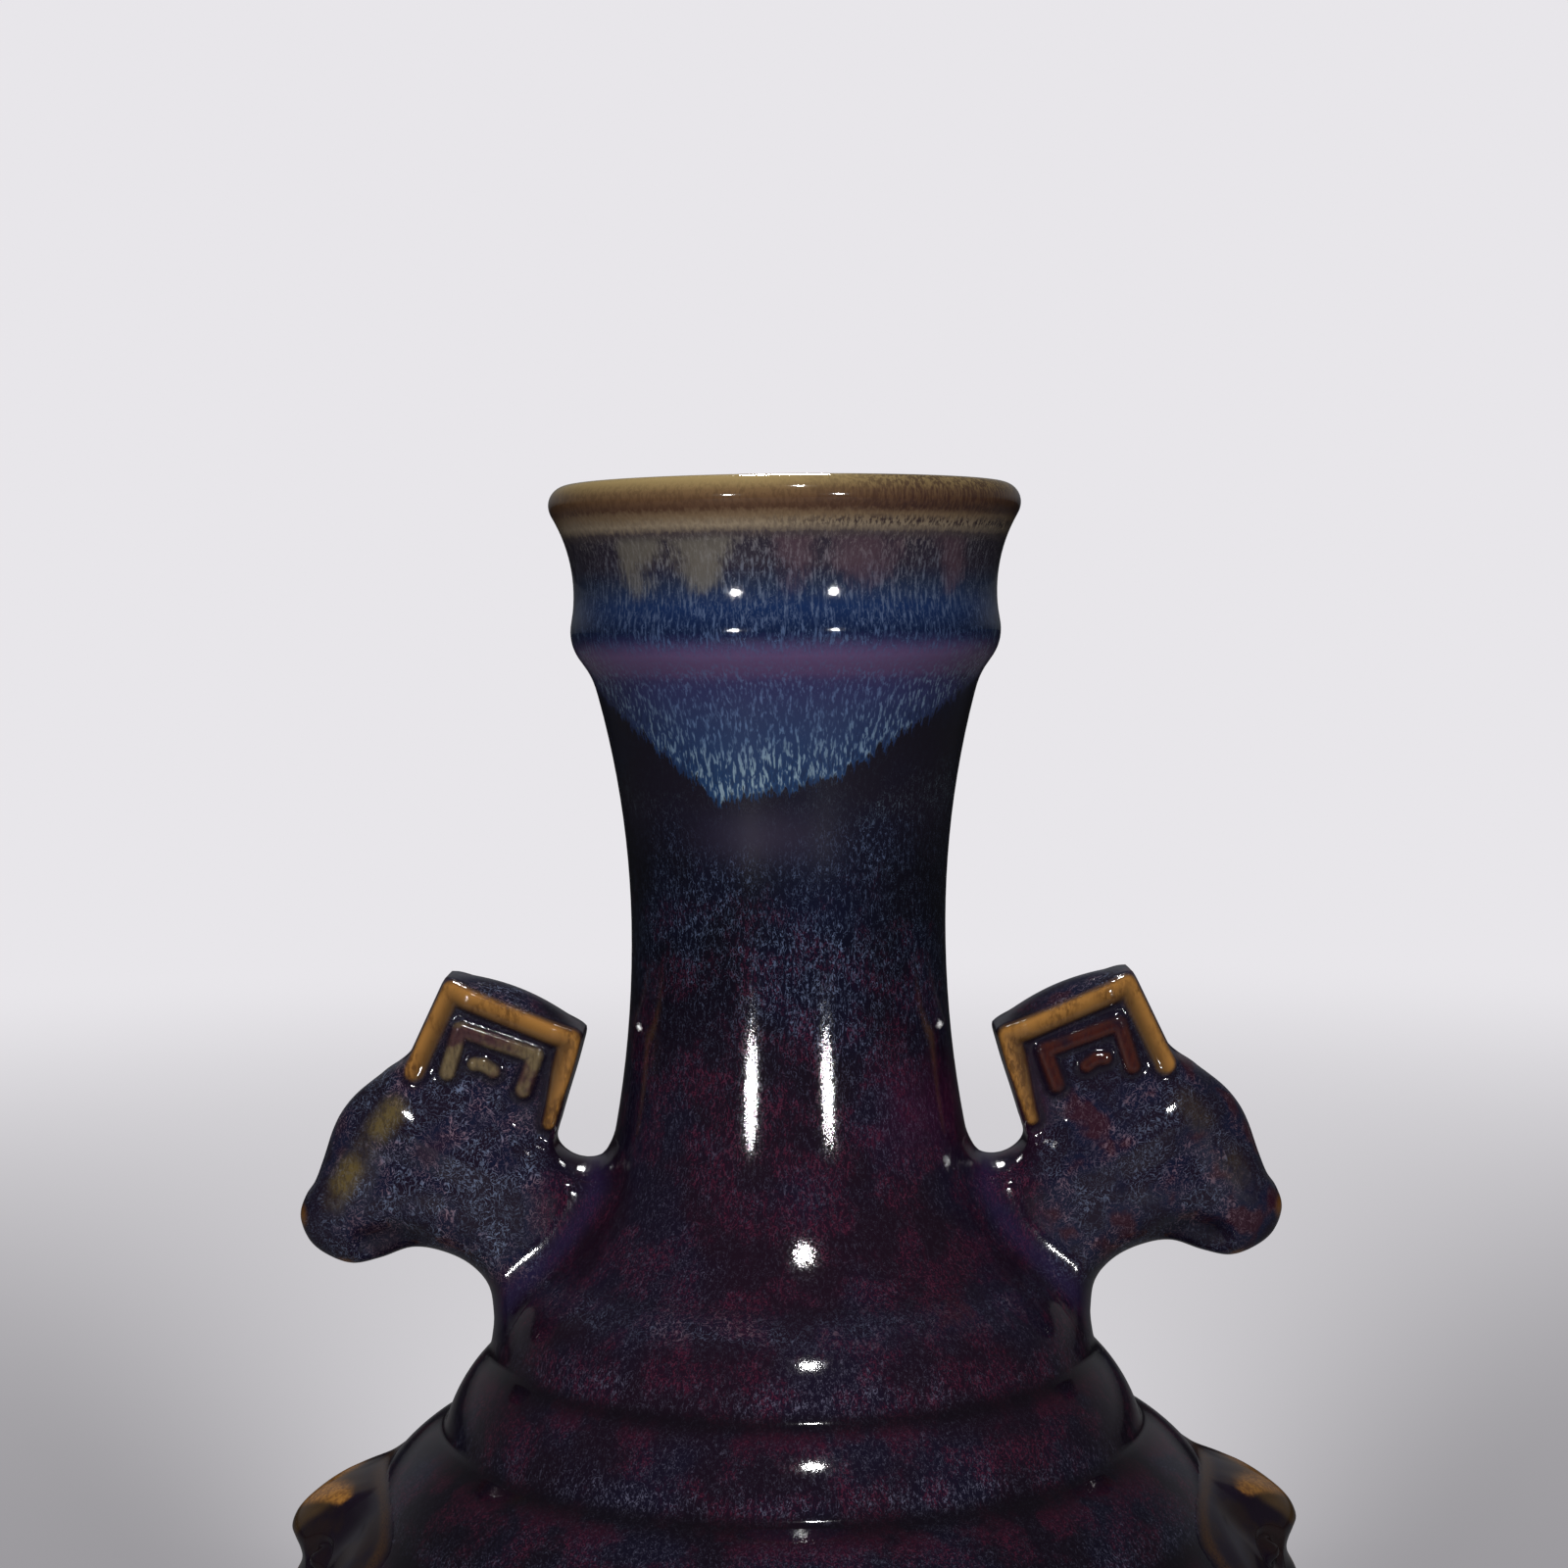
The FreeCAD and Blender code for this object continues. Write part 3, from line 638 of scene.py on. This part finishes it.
class Wire:
    """One value in a material, which arithmetic turns into Math nodes."""

    def __init__(self, paint, socket):
        self.paint, self.socket = paint, socket

    def maths(self, operation, *values):
        return self.paint.add("ShaderNodeMath", {"operation": operation}, dict(enumerate(values)))

    def __add__(self, other):
        return self.maths("ADD", self, other)

    __radd__ = __add__

    def __sub__(self, other):
        return self.maths("SUBTRACT", self, other)

    def __rsub__(self, other):
        return self.maths("SUBTRACT", other, self)

    def __mul__(self, other):
        return self.maths("MULTIPLY", self, other)

    __rmul__ = __mul__

    def __truediv__(self, other):
        return self.maths("DIVIDE", self, other)

    def __abs__(self):
        return self.maths("ABSOLUTE", self)

    def lower(self, other):
        return self.maths("MINIMUM", self, other)

    def higher(self, other):
        return self.maths("MAXIMUM", self, other)

    def step(self, low, high):
        """A soft step from 0 at low to 1 at high."""
        return self.paint.add(
            "ShaderNodeMapRange",
            {"interpolation_type": "SMOOTHSTEP"},
            {"Value": self, "From Min": low, "From Max": high},
        )

    def bump_at(self, middle, reach):
        """A soft band that is 1 at the middle and 0 at the reach."""
        return abs(self - middle).step(reach, 0.0)


class Paint:
    """The nodes of one material, or of the world."""

    def __init__(self, owner):
        self.owner = owner
        owner.use_nodes = True
        self.tree = owner.node_tree
        self.tree.nodes.clear()

    def add(self, kind, settings=None, sockets=None, out=0):
        """Adds a node: its settings first, then the values or links of its sockets."""
        node = self.tree.nodes.new(kind)
        for name, value in (settings or {}).items():
            if name == "stops":
                self.set_stops(node.color_ramp, value)
            else:
                setattr(node, name, value)
        for name, value in (sockets or {}).items():
            socket = node.inputs[name]
            if isinstance(value, Wire):
                self.tree.links.new(value.socket, socket)
            else:
                socket.default_value = value
        return Wire(self, node.outputs[out]) if node.outputs else None

    @staticmethod
    def set_stops(ramp_of, stops):
        """Gives a colour ramp its stops, which start with the two that it has."""
        while len(ramp_of.elements) < len(stops):
            ramp_of.elements.new(0.5)
        for element, (place, shade) in zip(ramp_of.elements, stops):
            element.position, element.color = place, shade

    def blend(self, under, over, factor):
        """One colour over another."""
        sockets = {0: factor, 6: under, 7: over}
        return self.add("ShaderNodeMix", {"data_type": "RGBA"}, sockets, out=2)

    def noise(self, place, scale, detail=2.0, roughness=0.5, distortion=0.0):
        """A cloudy value about 0.5, scale times to the unit of place."""
        sockets = {
            "Vector": place,
            "Scale": scale,
            "Detail": detail,
            "Roughness": roughness,
            "Distortion": distortion,
        }
        return self.add("ShaderNodeTexNoise", {}, sockets)

    def curls(self, place, scale, width, distortion):
        """Thin curling threads, where a noise passes its middle."""
        return abs(self.noise(place, scale, 1.0, 0.5, distortion) - 0.5).step(width, width * 0.2)

    def mark(self, name):
        """A mark of the mesh, and 0 where a piece has none."""
        return self.add("ShaderNodeAttribute", {"attribute_name": name}, {}, out=2)

    def parts(self, place):
        """The three parts of a place."""
        return [self.add("ShaderNodeSeparateXYZ", {}, {0: place}, out=part) for part in range(3)]

    def stretch(self, place, by):
        """A place with its parts multiplied, for a noise that is drawn out along one of them."""
        return self.add("ShaderNodeVectorMath", {"operation": "MULTIPLY"}, {0: place, 1: by})

    def levels(self, height, stops, top=340.0):
        """A colour that goes by the height over the table."""
        shades = [(z / top, shade) for z, shade in stops]
        return self.add("ShaderNodeValToRGB", {"stops": shades}, {"Fac": height / top})


# Colours by height: of the dark glaze below, of the one that ran down from the collar, and of the threads.
GROUND = [
    (0.0, colour(46, 32, 30)),
    (1.6, colour(46, 32, 30)),
    (2.4, colour(15, 12, 22)),
    (60.0, colour(18, 13, 28)),
    (120.0, colour(20, 12, 26)),
    (150.0, colour(17, 12, 24)),
    (163.0, colour(14, 10, 18)),
    (176.0, colour(19, 11, 22)),
    (190.0, colour(23, 12, 24)),
    (205.0, colour(25, 12, 24)),
    (228.0, colour(23, 12, 23)),
    (246.0, colour(18, 12, 23)),
    (262.0, colour(13, 12, 21)),
    (276.0, colour(13, 12, 21)),
    (285.0, colour(22, 18, 30)),
    (302.0, colour(19, 16, 25)),
    (306.0, colour(24, 22, 38)),
    (340.0, colour(24, 22, 38)),
]
COLLAR = [
    (284.0, colour(26, 58, 94)),
    (292.0, colour(28, 50, 84)),
    (301.0, colour(36, 46, 78)),
    (306.5, colour(42, 42, 78)),
    (308.6, colour(84, 64, 98)),
    (311.2, colour(90, 70, 106)),
    (312.8, colour(44, 42, 76)),
    (314.4, colour(14, 24, 50)),
    (319.0, colour(20, 38, 74)),
    (322.5, colour(32, 40, 60)),
    (325.5, colour(38, 33, 44)),
    (330.4, colour(36, 31, 42)),
    (331.5, colour(104, 90, 80)),
    (332.5, colour(160, 144, 118)),
    (333.4, colour(112, 92, 70)),
    (334.3, colour(80, 56, 42)),
    (337.0, colour(96, 72, 50)),
    (340.0, colour(170, 148, 100)),
]
FLECK = [
    (0.0, colour(76, 80, 104)),
    (170.0, colour(80, 80, 98)),
    (205.0, colour(80, 76, 94)),
    (235.0, colour(78, 78, 98)),
    (262.0, colour(84, 96, 122)),
    (282.0, colour(74, 86, 114)),
    (288.0, colour(128, 148, 164)),
    (297.0, colour(82, 106, 140)),
    (306.0, colour(78, 92, 128)),
    (313.0, colour(66, 84, 120)),
    (322.0, colour(82, 92, 112)),
    (330.0, colour(104, 98, 100)),
    (336.0, colour(80, 62, 50)),
]

# Clouds on the collar's front: (how far across, half-width).
CLOUDS = [(-24.0, 6.0), (-13.5, 9.0), (0.5, 6.5), (12.5, 9.0), (27.0, 5.0)]


def glaze_material():
    """The flambe glaze: streaked blues over aubergine and red, thin and brown on every crest."""
    paint = Paint(bpy.data.materials.new("flambe_glaze"))
    place = paint.add("ShaderNodeTexCoord", {}, {}, out=3)
    place = paint.add("ShaderNodeVectorMath", {"operation": "SCALE"}, {0: place, "Scale": 1000.0})
    x, y, z = paint.parts(place)
    square = x * x + y * y
    radius = square.maths("SQRT", square)
    running = paint.stretch(place, (1.0, 1.0, 0.42))
    pouring = paint.stretch(place, (1.0, 1.0, 0.16))
    drift = paint.noise(place, 0.05, 2.0)
    patches = paint.noise(place, 0.14, 3.0)
    fur = paint.noise(running, 1.5, 3.0, 0.6, 0.5)
    streaks = paint.noise(pouring, 2.0, 2.0, 0.6, 0.2)
    speckle = paint.noise(place, 3.6, 2.0)

    # threads of the second glaze: a noise's middle line curls, and a second noise breaks it up
    threads = paint.curls(running, 1.5, 0.060, 0.9) * fur.step(0.42, 0.62) * speckle.step(0.30, 0.62)
    threads = threads.higher(paint.curls(running, 2.1, 0.080, 0.5) * fur.step(0.54, 0.68))
    tracks = paint.curls(place, 0.42, 0.045, 2.4) * fur.step(0.38, 0.58)
    tracks = tracks.higher(paint.curls(place, 0.85, 0.050, 1.3) * speckle.step(0.40, 0.62) * 0.6)

    # bodies of colour by height, with edges that wander
    level = z + (patches - 0.5) * 5.0 + (fur - 0.5) * 2.0
    ground = paint.levels(level, GROUND)
    side = abs(x) / radius.higher(10.0)
    behind = y.step(-7.0, 7.0)
    blue_side = drift.step(0.42, 0.60)
    blue_front = x.bump_at(5.0, 16.0) * (1.0 - behind) * z.step(258.0, 268.0) * z.step(288.0, 276.0)
    low_part = z.step(262.0, 236.0)
    ground = paint.blend(ground, colour(14, 17, 36), (blue_side * 0.45).higher(blue_front * 0.8))
    red_cloud = patches.step(0.42, 0.68) * (0.10 + 0.24 * low_part) * z.step(276.0, 262.0)
    calm = 1.0 - 0.85 * z.step(174.0, 163.0)
    ground = paint.blend(ground, colour(36, 13, 32), red_cloud * calm)
    magenta = (x + (patches - 0.5) * 14.0).step(10.0, 20.0) * z.bump_at(234.0, 12.0)
    ground = paint.blend(ground, colour(50, 15, 40), magenta * (0.5 + 0.4 * fur.step(0.4, 0.6)))
    red_fleck = paint.curls(running, 1.0, 0.065, 1.1) * (patches + 0.04 * low_part).step(0.48, 0.62)
    red_fleck = red_fleck * z.step(280.0, 262.0) * speckle.step(0.32, 0.60) * calm
    ground = paint.blend(ground, colour(84, 30, 50), red_fleck * (0.34 + 0.16 * low_part))

    # where the blue skirt that ran down from the collar ends
    front_edge = 286.4 + (-11.0 - x).higher(0.0) * 0.86 + (x + 11.0).higher(0.0) * 0.22
    front_edge = front_edge + (x - 8.0).higher(0.0) * 0.42
    back_edge = 289.0 + abs(x - 6.0) * 0.5
    edge = front_edge * (1.0 - behind) + back_edge * behind
    drips = (paint.noise(paint.stretch(place, (1.0, 1.0, 0.10)), 0.8, 2.0, 0.6) - 0.5) * 4.0
    drips = drips + (streaks - 0.5) * 7.0
    over_edge = z - edge - drips

    # how many threads show: few at the sides, few under the skirt, most on the ribs' lower parts
    ribs = z.bump_at(166.6, 4.6) + z.bump_at(179.2, 4.4) + z.bump_at(193.2, 4.8)
    amount = 0.44 + 0.34 * z.bump_at(258.0, 30.0) + 0.35 * blue_front + ribs * 0.50
    amount = amount * (1.0 - 0.45 * side.step(0.45, 0.95)) * (1.0 - 0.85 * over_edge.step(-13.0, -6.0))
    amount = amount * (0.55 + 0.9 * drift.step(0.36, 0.62))
    fleck_colour = paint.levels(level, FLECK)
    surface = paint.blend(ground, fleck_colour, (threads * amount).lower(0.85))
    haze = z.bump_at(281.0, 7.0) * x.bump_at(-4.0, 17.0) * (1.0 - behind)
    surface = paint.blend(surface, colour(54, 47, 66), haze * 0.42)

    # the grooves between the ribs: a red fringe, and a darkening that is partly glaze pooled in them and
    # partly painted shade
    fringe = z.bump_at(162.4, 3.4) * 0.5 + z.bump_at(175.6, 3.2) + z.bump_at(188.8, 3.2)
    surface = paint.blend(surface, colour(44, 13, 28), fringe.lower(1.0) * patches.step(0.42, 0.60) * 0.5)
    # painted shade, with some pooled glaze, darkens the grooves
    groove_pool_and_shade = z.bump_at(164.0, 2.6) + z.bump_at(176.8, 2.5) + z.bump_at(190.2, 2.5)
    groove_pool_and_shade = groove_pool_and_shade + z.bump_at(205.5, 1.4) * 0.3
    surface = paint.blend(surface, colour(14, 9, 16), groove_pool_and_shade.lower(1.0) * 0.8)

    # the blue skirt that ran down from the collar
    skirt = over_edge.step(-0.2, 0.6)
    collar = paint.levels(z + (fur - 0.5) * 1.6, COLLAR)
    low_skirt = over_edge.step(10.0, 1.0)
    hairs = streaks.step(0.50, 0.63) * (0.25 + 0.50 * fur.step(0.4, 0.6))
    hairs = hairs * (1.0 - 0.7 * z.bump_at(310.6, 2.6)) * (1.0 - 0.35 * side.step(0.5, 0.95))
    collar = paint.blend(collar, fleck_colour, (hairs * z.step(331.5, 329.5)).lower(0.85))
    fine_threads = threads * z.step(307.0, 314.0) * z.step(331.5, 329.5)
    collar = paint.blend(collar, fleck_colour, fine_threads * 0.7)
    tips = low_skirt * streaks.step(0.52, 0.62) * (0.35 + 0.55 * x.bump_at(-5.0, 14.0))
    collar = paint.blend(collar, colour(118, 138, 150), tips)
    collar = paint.blend(collar, colour(20, 26, 50), low_skirt * streaks.step(0.46, 0.38) * 0.6)
    clouds = (z - 327.0).lower(0.0) * 0.09
    for across, half_width in CLOUDS:
        clouds = clouds + x.bump_at(across, half_width)
    clouds = (clouds + (patches - 0.5) * 1.8 + (streaks - 0.5) * 1.0).step(0.15, 0.95)
    clouds = clouds * z.step(319.0, 322.0) * z.step(331.0, 329.0)
    collar = paint.blend(collar, colour(112, 106, 94), clouds * x.step(-2.0, -9.0) * 0.52)
    collar = paint.blend(collar, colour(84, 62, 70), clouds * x.step(-9.0, -2.0) * 0.46)
    brown = (x + (patches - 0.5) * 20.0).step(-6.0, 22.0) * z.step(333.4, 334.6)
    collar = paint.blend(collar, colour(50, 32, 32), brown * (0.35 + 0.45 * streaks.step(0.4, 0.6)))
    mottled = fur.step(0.44, 0.60) * z.step(333.6, 334.6) * z.step(340.0, 337.5)
    collar = paint.blend(collar, colour(54, 34, 26), mottled * 0.4)
    # a darker band on the lip's beige line, strongest towards the right
    darker_lip_band = z.bump_at(332.4, 1.8) * (0.25 + 0.75 * streaks.step(0.42, 0.60))
    collar = paint.blend(collar, colour(52, 40, 40), darker_lip_band * (0.30 + 0.70 * x.step(-10.0, 16.0)).lower(1.0))
    surface = paint.blend(surface, collar, skirt)

    # the ears: curling tracks over purple
    on_ear = radius.step(41.0, 47.0) * z.step(199.0, 206.0)
    cloud = paint.noise(place, 0.17, 2.0).step(0.38, 0.60)
    right_side = x.step(-1.0, 1.0)
    beast = paint.blend(colour(24, 17, 30), colour(18, 22, 42), patches.step(0.42, 0.58))
    beast = paint.blend(beast, colour(48, 18, 24), patches.step(0.55, 0.66) * (0.3 + 0.4 * right_side))
    pale_tracks = tracks * (0.35 + 0.65 * cloud)
    pale_tracks = pale_tracks * (1.0 - 0.35 * right_side) * (1.0 - 0.6 * radius.step(72.0, 84.0))
    track_colour = paint.blend(colour(96, 106, 130), colour(118, 96, 108), patches.step(0.46, 0.56))
    beast = paint.blend(beast, track_colour, pale_tracks * 0.85)
    surface = paint.blend(surface, beast, on_ear)
    seam = paint.mark("seam")
    surface = paint.blend(surface, colour(34, 24, 58), seam * 0.5 * (0.6 + 0.6 * streaks))

    # the ears' frames and scrolls, thin on their crests, with painted shade in their recesses and in the
    # jaw's hollow
    gilt, edge_mark = paint.mark("gilt"), paint.mark("edge")
    scroll, bridge, tip = paint.mark("scroll"), paint.mark("bridge"), paint.mark("tip")
    crest, rim = paint.mark("crest"), paint.mark("rim")
    # painted shade in the recesses beside the frame and scrolls
    surface = paint.blend(surface, colour(18, 13, 24), paint.mark("recess") * 0.8)
    # painted shade in the hollow over the jaw
    surface = paint.blend(surface, colour(14, 12, 22), paint.mark("jaw") * 0.7)
    surface = paint.blend(surface, colour(70, 50, 34), crest * 0.3 * on_ear)
    left_scroll = paint.blend(colour(100, 86, 62), colour(66, 44, 44), patches.step(0.46, 0.58))
    right_scroll = paint.blend(colour(60, 26, 20), colour(40, 22, 28), patches.step(0.44, 0.56))
    scrolls = paint.blend(left_scroll, right_scroll, right_side)
    surface = paint.blend(surface, scrolls, scroll * (0.55 + 0.35 * fur.step(0.35, 0.6)))
    olive = bridge * (0.55 + 0.45 * fur.step(0.35, 0.55)) * (1.0 - 0.8 * right_side)
    surface = paint.blend(surface, colour(92, 78, 44), olive * 0.8)
    gold = paint.blend(colour(76, 54, 30), colour(148, 104, 52), edge_mark)
    gold = paint.blend(gold, colour(62, 38, 18), patches.step(0.40, 0.60) * fur.step(0.36, 0.60) * 0.7)
    surface = paint.blend(surface, gold, gilt * 0.96)
    surface = paint.blend(surface, colour(124, 82, 32), tip * 0.8)

    # the masks: dark plates with golden ridges
    on_mask = z.step(134.0, 136.0) * z.step(174.0, 172.0)
    plate = paint.blend(colour(22, 14, 25), colour(32, 22, 22), patches.step(0.42, 0.60))
    masked = on_mask * paint.mark("plate")
    surface = paint.blend(surface, plate, masked * 0.9)
    surface = paint.blend(surface, colour(74, 56, 34), on_mask * paint.mark("dome") * 0.75)
    mask_gold = paint.blend(colour(116, 76, 34), colour(164, 114, 52), fur.step(0.35, 0.65))
    surface = paint.blend(surface, mask_gold, on_mask * crest * (0.9 - 0.35 * right_side))
    surface = paint.blend(surface, colour(62, 42, 26), on_mask * rim * 0.7 * speckle.step(0.30, 0.55))

    # bare clay on the foot ring
    clay = z.step(1.8, 1.1)
    surface = paint.blend(surface, colour(66, 46, 38), clay)

    # a fine orange-peel ripple, most on the lower neck, which breaks its highlights up
    uneven = 0.3 + 0.7 * z.step(280.0, 258.0) * z.step(196.0, 205.0)
    ripple = (fur * 0.3 + speckle.step(0.40, 0.78)) * uneven
    bump = paint.add("ShaderNodeBump", {}, {"Strength": 0.04, "Distance": 0.0002, "Height": ripple})
    shine = 0.05 + 0.04 * fur.step(0.4, 0.7) + clay * 0.6 + seam * 0.14
    sockets = {"Base Color": surface, "Roughness": shine, "IOR": 1.5, "Normal": bump}
    shader = paint.add("ShaderNodeBsdfPrincipled", {}, sockets)
    paint.add("ShaderNodeOutputMaterial", {}, {"Surface": shader})
    return paint.owner


glaze = glaze_material()

body = turned("body", thinned(whole_line, BODY_TOLERANCE, BODY_LONGEST), SIDES)
right_ear, left_ear = both_sides("ear", ear_form())
right_mask, left_mask = both_sides("mask", mask_form())
for piece in (body, right_ear, left_ear, right_mask, left_mask):
    piece.data.materials.append(glaze)
    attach(piece, "root")
    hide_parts("vase")
    print(piece.name, len(piece.data.polygons), "faces")


# Studio.


NECK_LEVEL = 250.0
BACKGROUND = colour(232, 230, 234)
ROOM = colour(225, 228, 235)


def floor_material():
    """A plain pale floor, which keeps the vase's shadow, and which the camera sees with painted light that
    brightens into the background.
    """
    paint = Paint(bpy.data.materials.new("studio_floor"))
    place = paint.add("ShaderNodeTexCoord", {}, {}, out=3)
    away = paint.add("ShaderNodeVectorMath", {"operation": "LENGTH"}, {0: place}, out=1)
    aside, behind, _ = paint.parts(place)
    to_camera = paint.add("ShaderNodeLightPath", {}, {}, out=0)
    own = paint.blend(colour(70, 70, 72), colour(206, 204, 208), to_camera)
    lit = paint.add("ShaderNodeBsdfPrincipled", {}, {"Base Color": own, "Roughness": 0.8})
    # for the camera the floor shows painted light: grey nearby, the background colour far off, and a painted
    # glow behind the vase
    far_away = away.step(0.32, 2.2)
    pale = paint.blend(colour(152, 150, 154), BACKGROUND, far_away)
    glow = (abs(aside) / behind.higher(0.1)).step(0.50, 0.12) * behind.step(0.3, 0.5)
    pale = paint.blend(pale, colour(222, 220, 224), glow * (1.0 - far_away) * 0.9)
    shown = paint.add("ShaderNodeEmission", {}, {"Color": pale, "Strength": 1.0})
    cover = paint.add("ShaderNodeMixShader", {}, {0: away.step(0.22, 0.48) * to_camera, 1: lit, 2: shown})
    paint.add("ShaderNodeOutputMaterial", {}, {"Surface": cover})
    return paint.owner


FAR = 30.0
floor_mesh = bpy.data.meshes.new("floor")
floor_mesh.from_pydata([(-FAR, -FAR, 0), (FAR, -FAR, 0), (FAR, FAR, 0), (-FAR, FAR, 0)], [], [(0, 1, 2, 3)])
floor = bpy.data.objects.new("floor", floor_mesh)
bpy.context.scene.collection.objects.link(floor)
floor_mesh.materials.append(floor_material())



def studio_world():
    """A dim room with a pale backdrop behind the vase, which the camera sees at its full colour."""
    paint = Paint(bpy.data.worlds.new("studio"))
    way = paint.add("ShaderNodeTexCoord", {}, {}, out=0)
    _, behind, up = paint.parts(way)
    seen = paint.add("ShaderNodeLightPath", {}, {}, out=0)
    room = paint.add("ShaderNodeBackground", {}, {"Color": ROOM, "Strength": 0.05})
    cloth = paint.add("ShaderNodeBackground", {}, {"Color": ROOM, "Strength": 0.15})
    backdrop = paint.add("ShaderNodeBackground", {}, {"Color": BACKGROUND, "Strength": 1.0})
    band = behind.step(0.30, 0.85) * up.step(-0.02, 0.12) * up.step(0.55, 0.20)
    around = paint.add("ShaderNodeMixShader", {}, {0: band, 1: room, 2: cloth})
    shown = paint.add("ShaderNodeMixShader", {}, {0: seen, 1: around, 2: backdrop})
    paint.add("ShaderNodeOutputWorld", {}, {"Surface": shown})
    return paint.owner


bpy.context.scene.world = studio_world()


def softbox(name, bearing, elevation, distance, size, watts):
    """A lamp at a bearing and an elevation from the neck, turned to the neck."""
    light = bpy.data.lights.new(name, "AREA")
    light.shape = "RECTANGLE"
    light.size, light.size_y = size
    light.energy = watts
    lamp = bpy.data.objects.new(name, light)
    bpy.context.scene.collection.objects.link(lamp)
    a, e = math.radians(bearing), math.radians(elevation)
    away = Vector((math.sin(a) * math.cos(e), -math.cos(a) * math.cos(e), math.sin(e)))
    aim = Vector((0, 0, NECK_LEVEL * MM))
    lamp.location = aim + away * distance
    lamp.rotation_mode = "QUATERNION"
    lamp.rotation_quaternion = away.to_track_quat("Z", "Y")
    return lamp


softbox("left_lamp", -26, 4.5, 1.3, (0.036, 0.036), 7.5)
softbox("right_lamp", 25, 4.5, 1.3, (0.036, 0.036), 5.5)
softbox("top_lamp", 8, 47, 1.2, (0.055, 0.036), 7)
softbox("back_lamp", 180, 45, 1.4, (0.16, 0.16), 14)


# Camera.

# The photograph's view: the distance to the vase's axis, the eye's height, and how the camera is
# tipped down and rolled. One pixel of the photograph is this long at the axis.
EYE_DISTANCE = 493 * MM
EYE_HEIGHT = 315.5 * MM
PIXEL = 0.17 * MM
PHOTO_SIDE = 1600
TIPPED = math.radians(3.16)
ROLLED = math.radians(-0.55)
ASIDE = -3.2 * PIXEL

camera_data = bpy.data.cameras.new("camera")
camera = bpy.data.objects.new("camera", camera_data)
bpy.context.scene.collection.objects.link(camera)
bpy.context.scene.camera = camera
camera_data.sensor_fit = "HORIZONTAL"
camera_data.angle = 2 * math.atan(PHOTO_SIDE * PIXEL / 2 / EYE_DISTANCE)
camera.location = (ASIDE, -EYE_DISTANCE, EYE_HEIGHT)
camera.rotation_euler = (
    Matrix.Rotation(math.pi / 2 - TIPPED, 4, "X") @ Matrix.Rotation(ROLLED, 4, "Z")
).to_euler()

bpy.context.scene.view_settings.view_transform = "Standard"
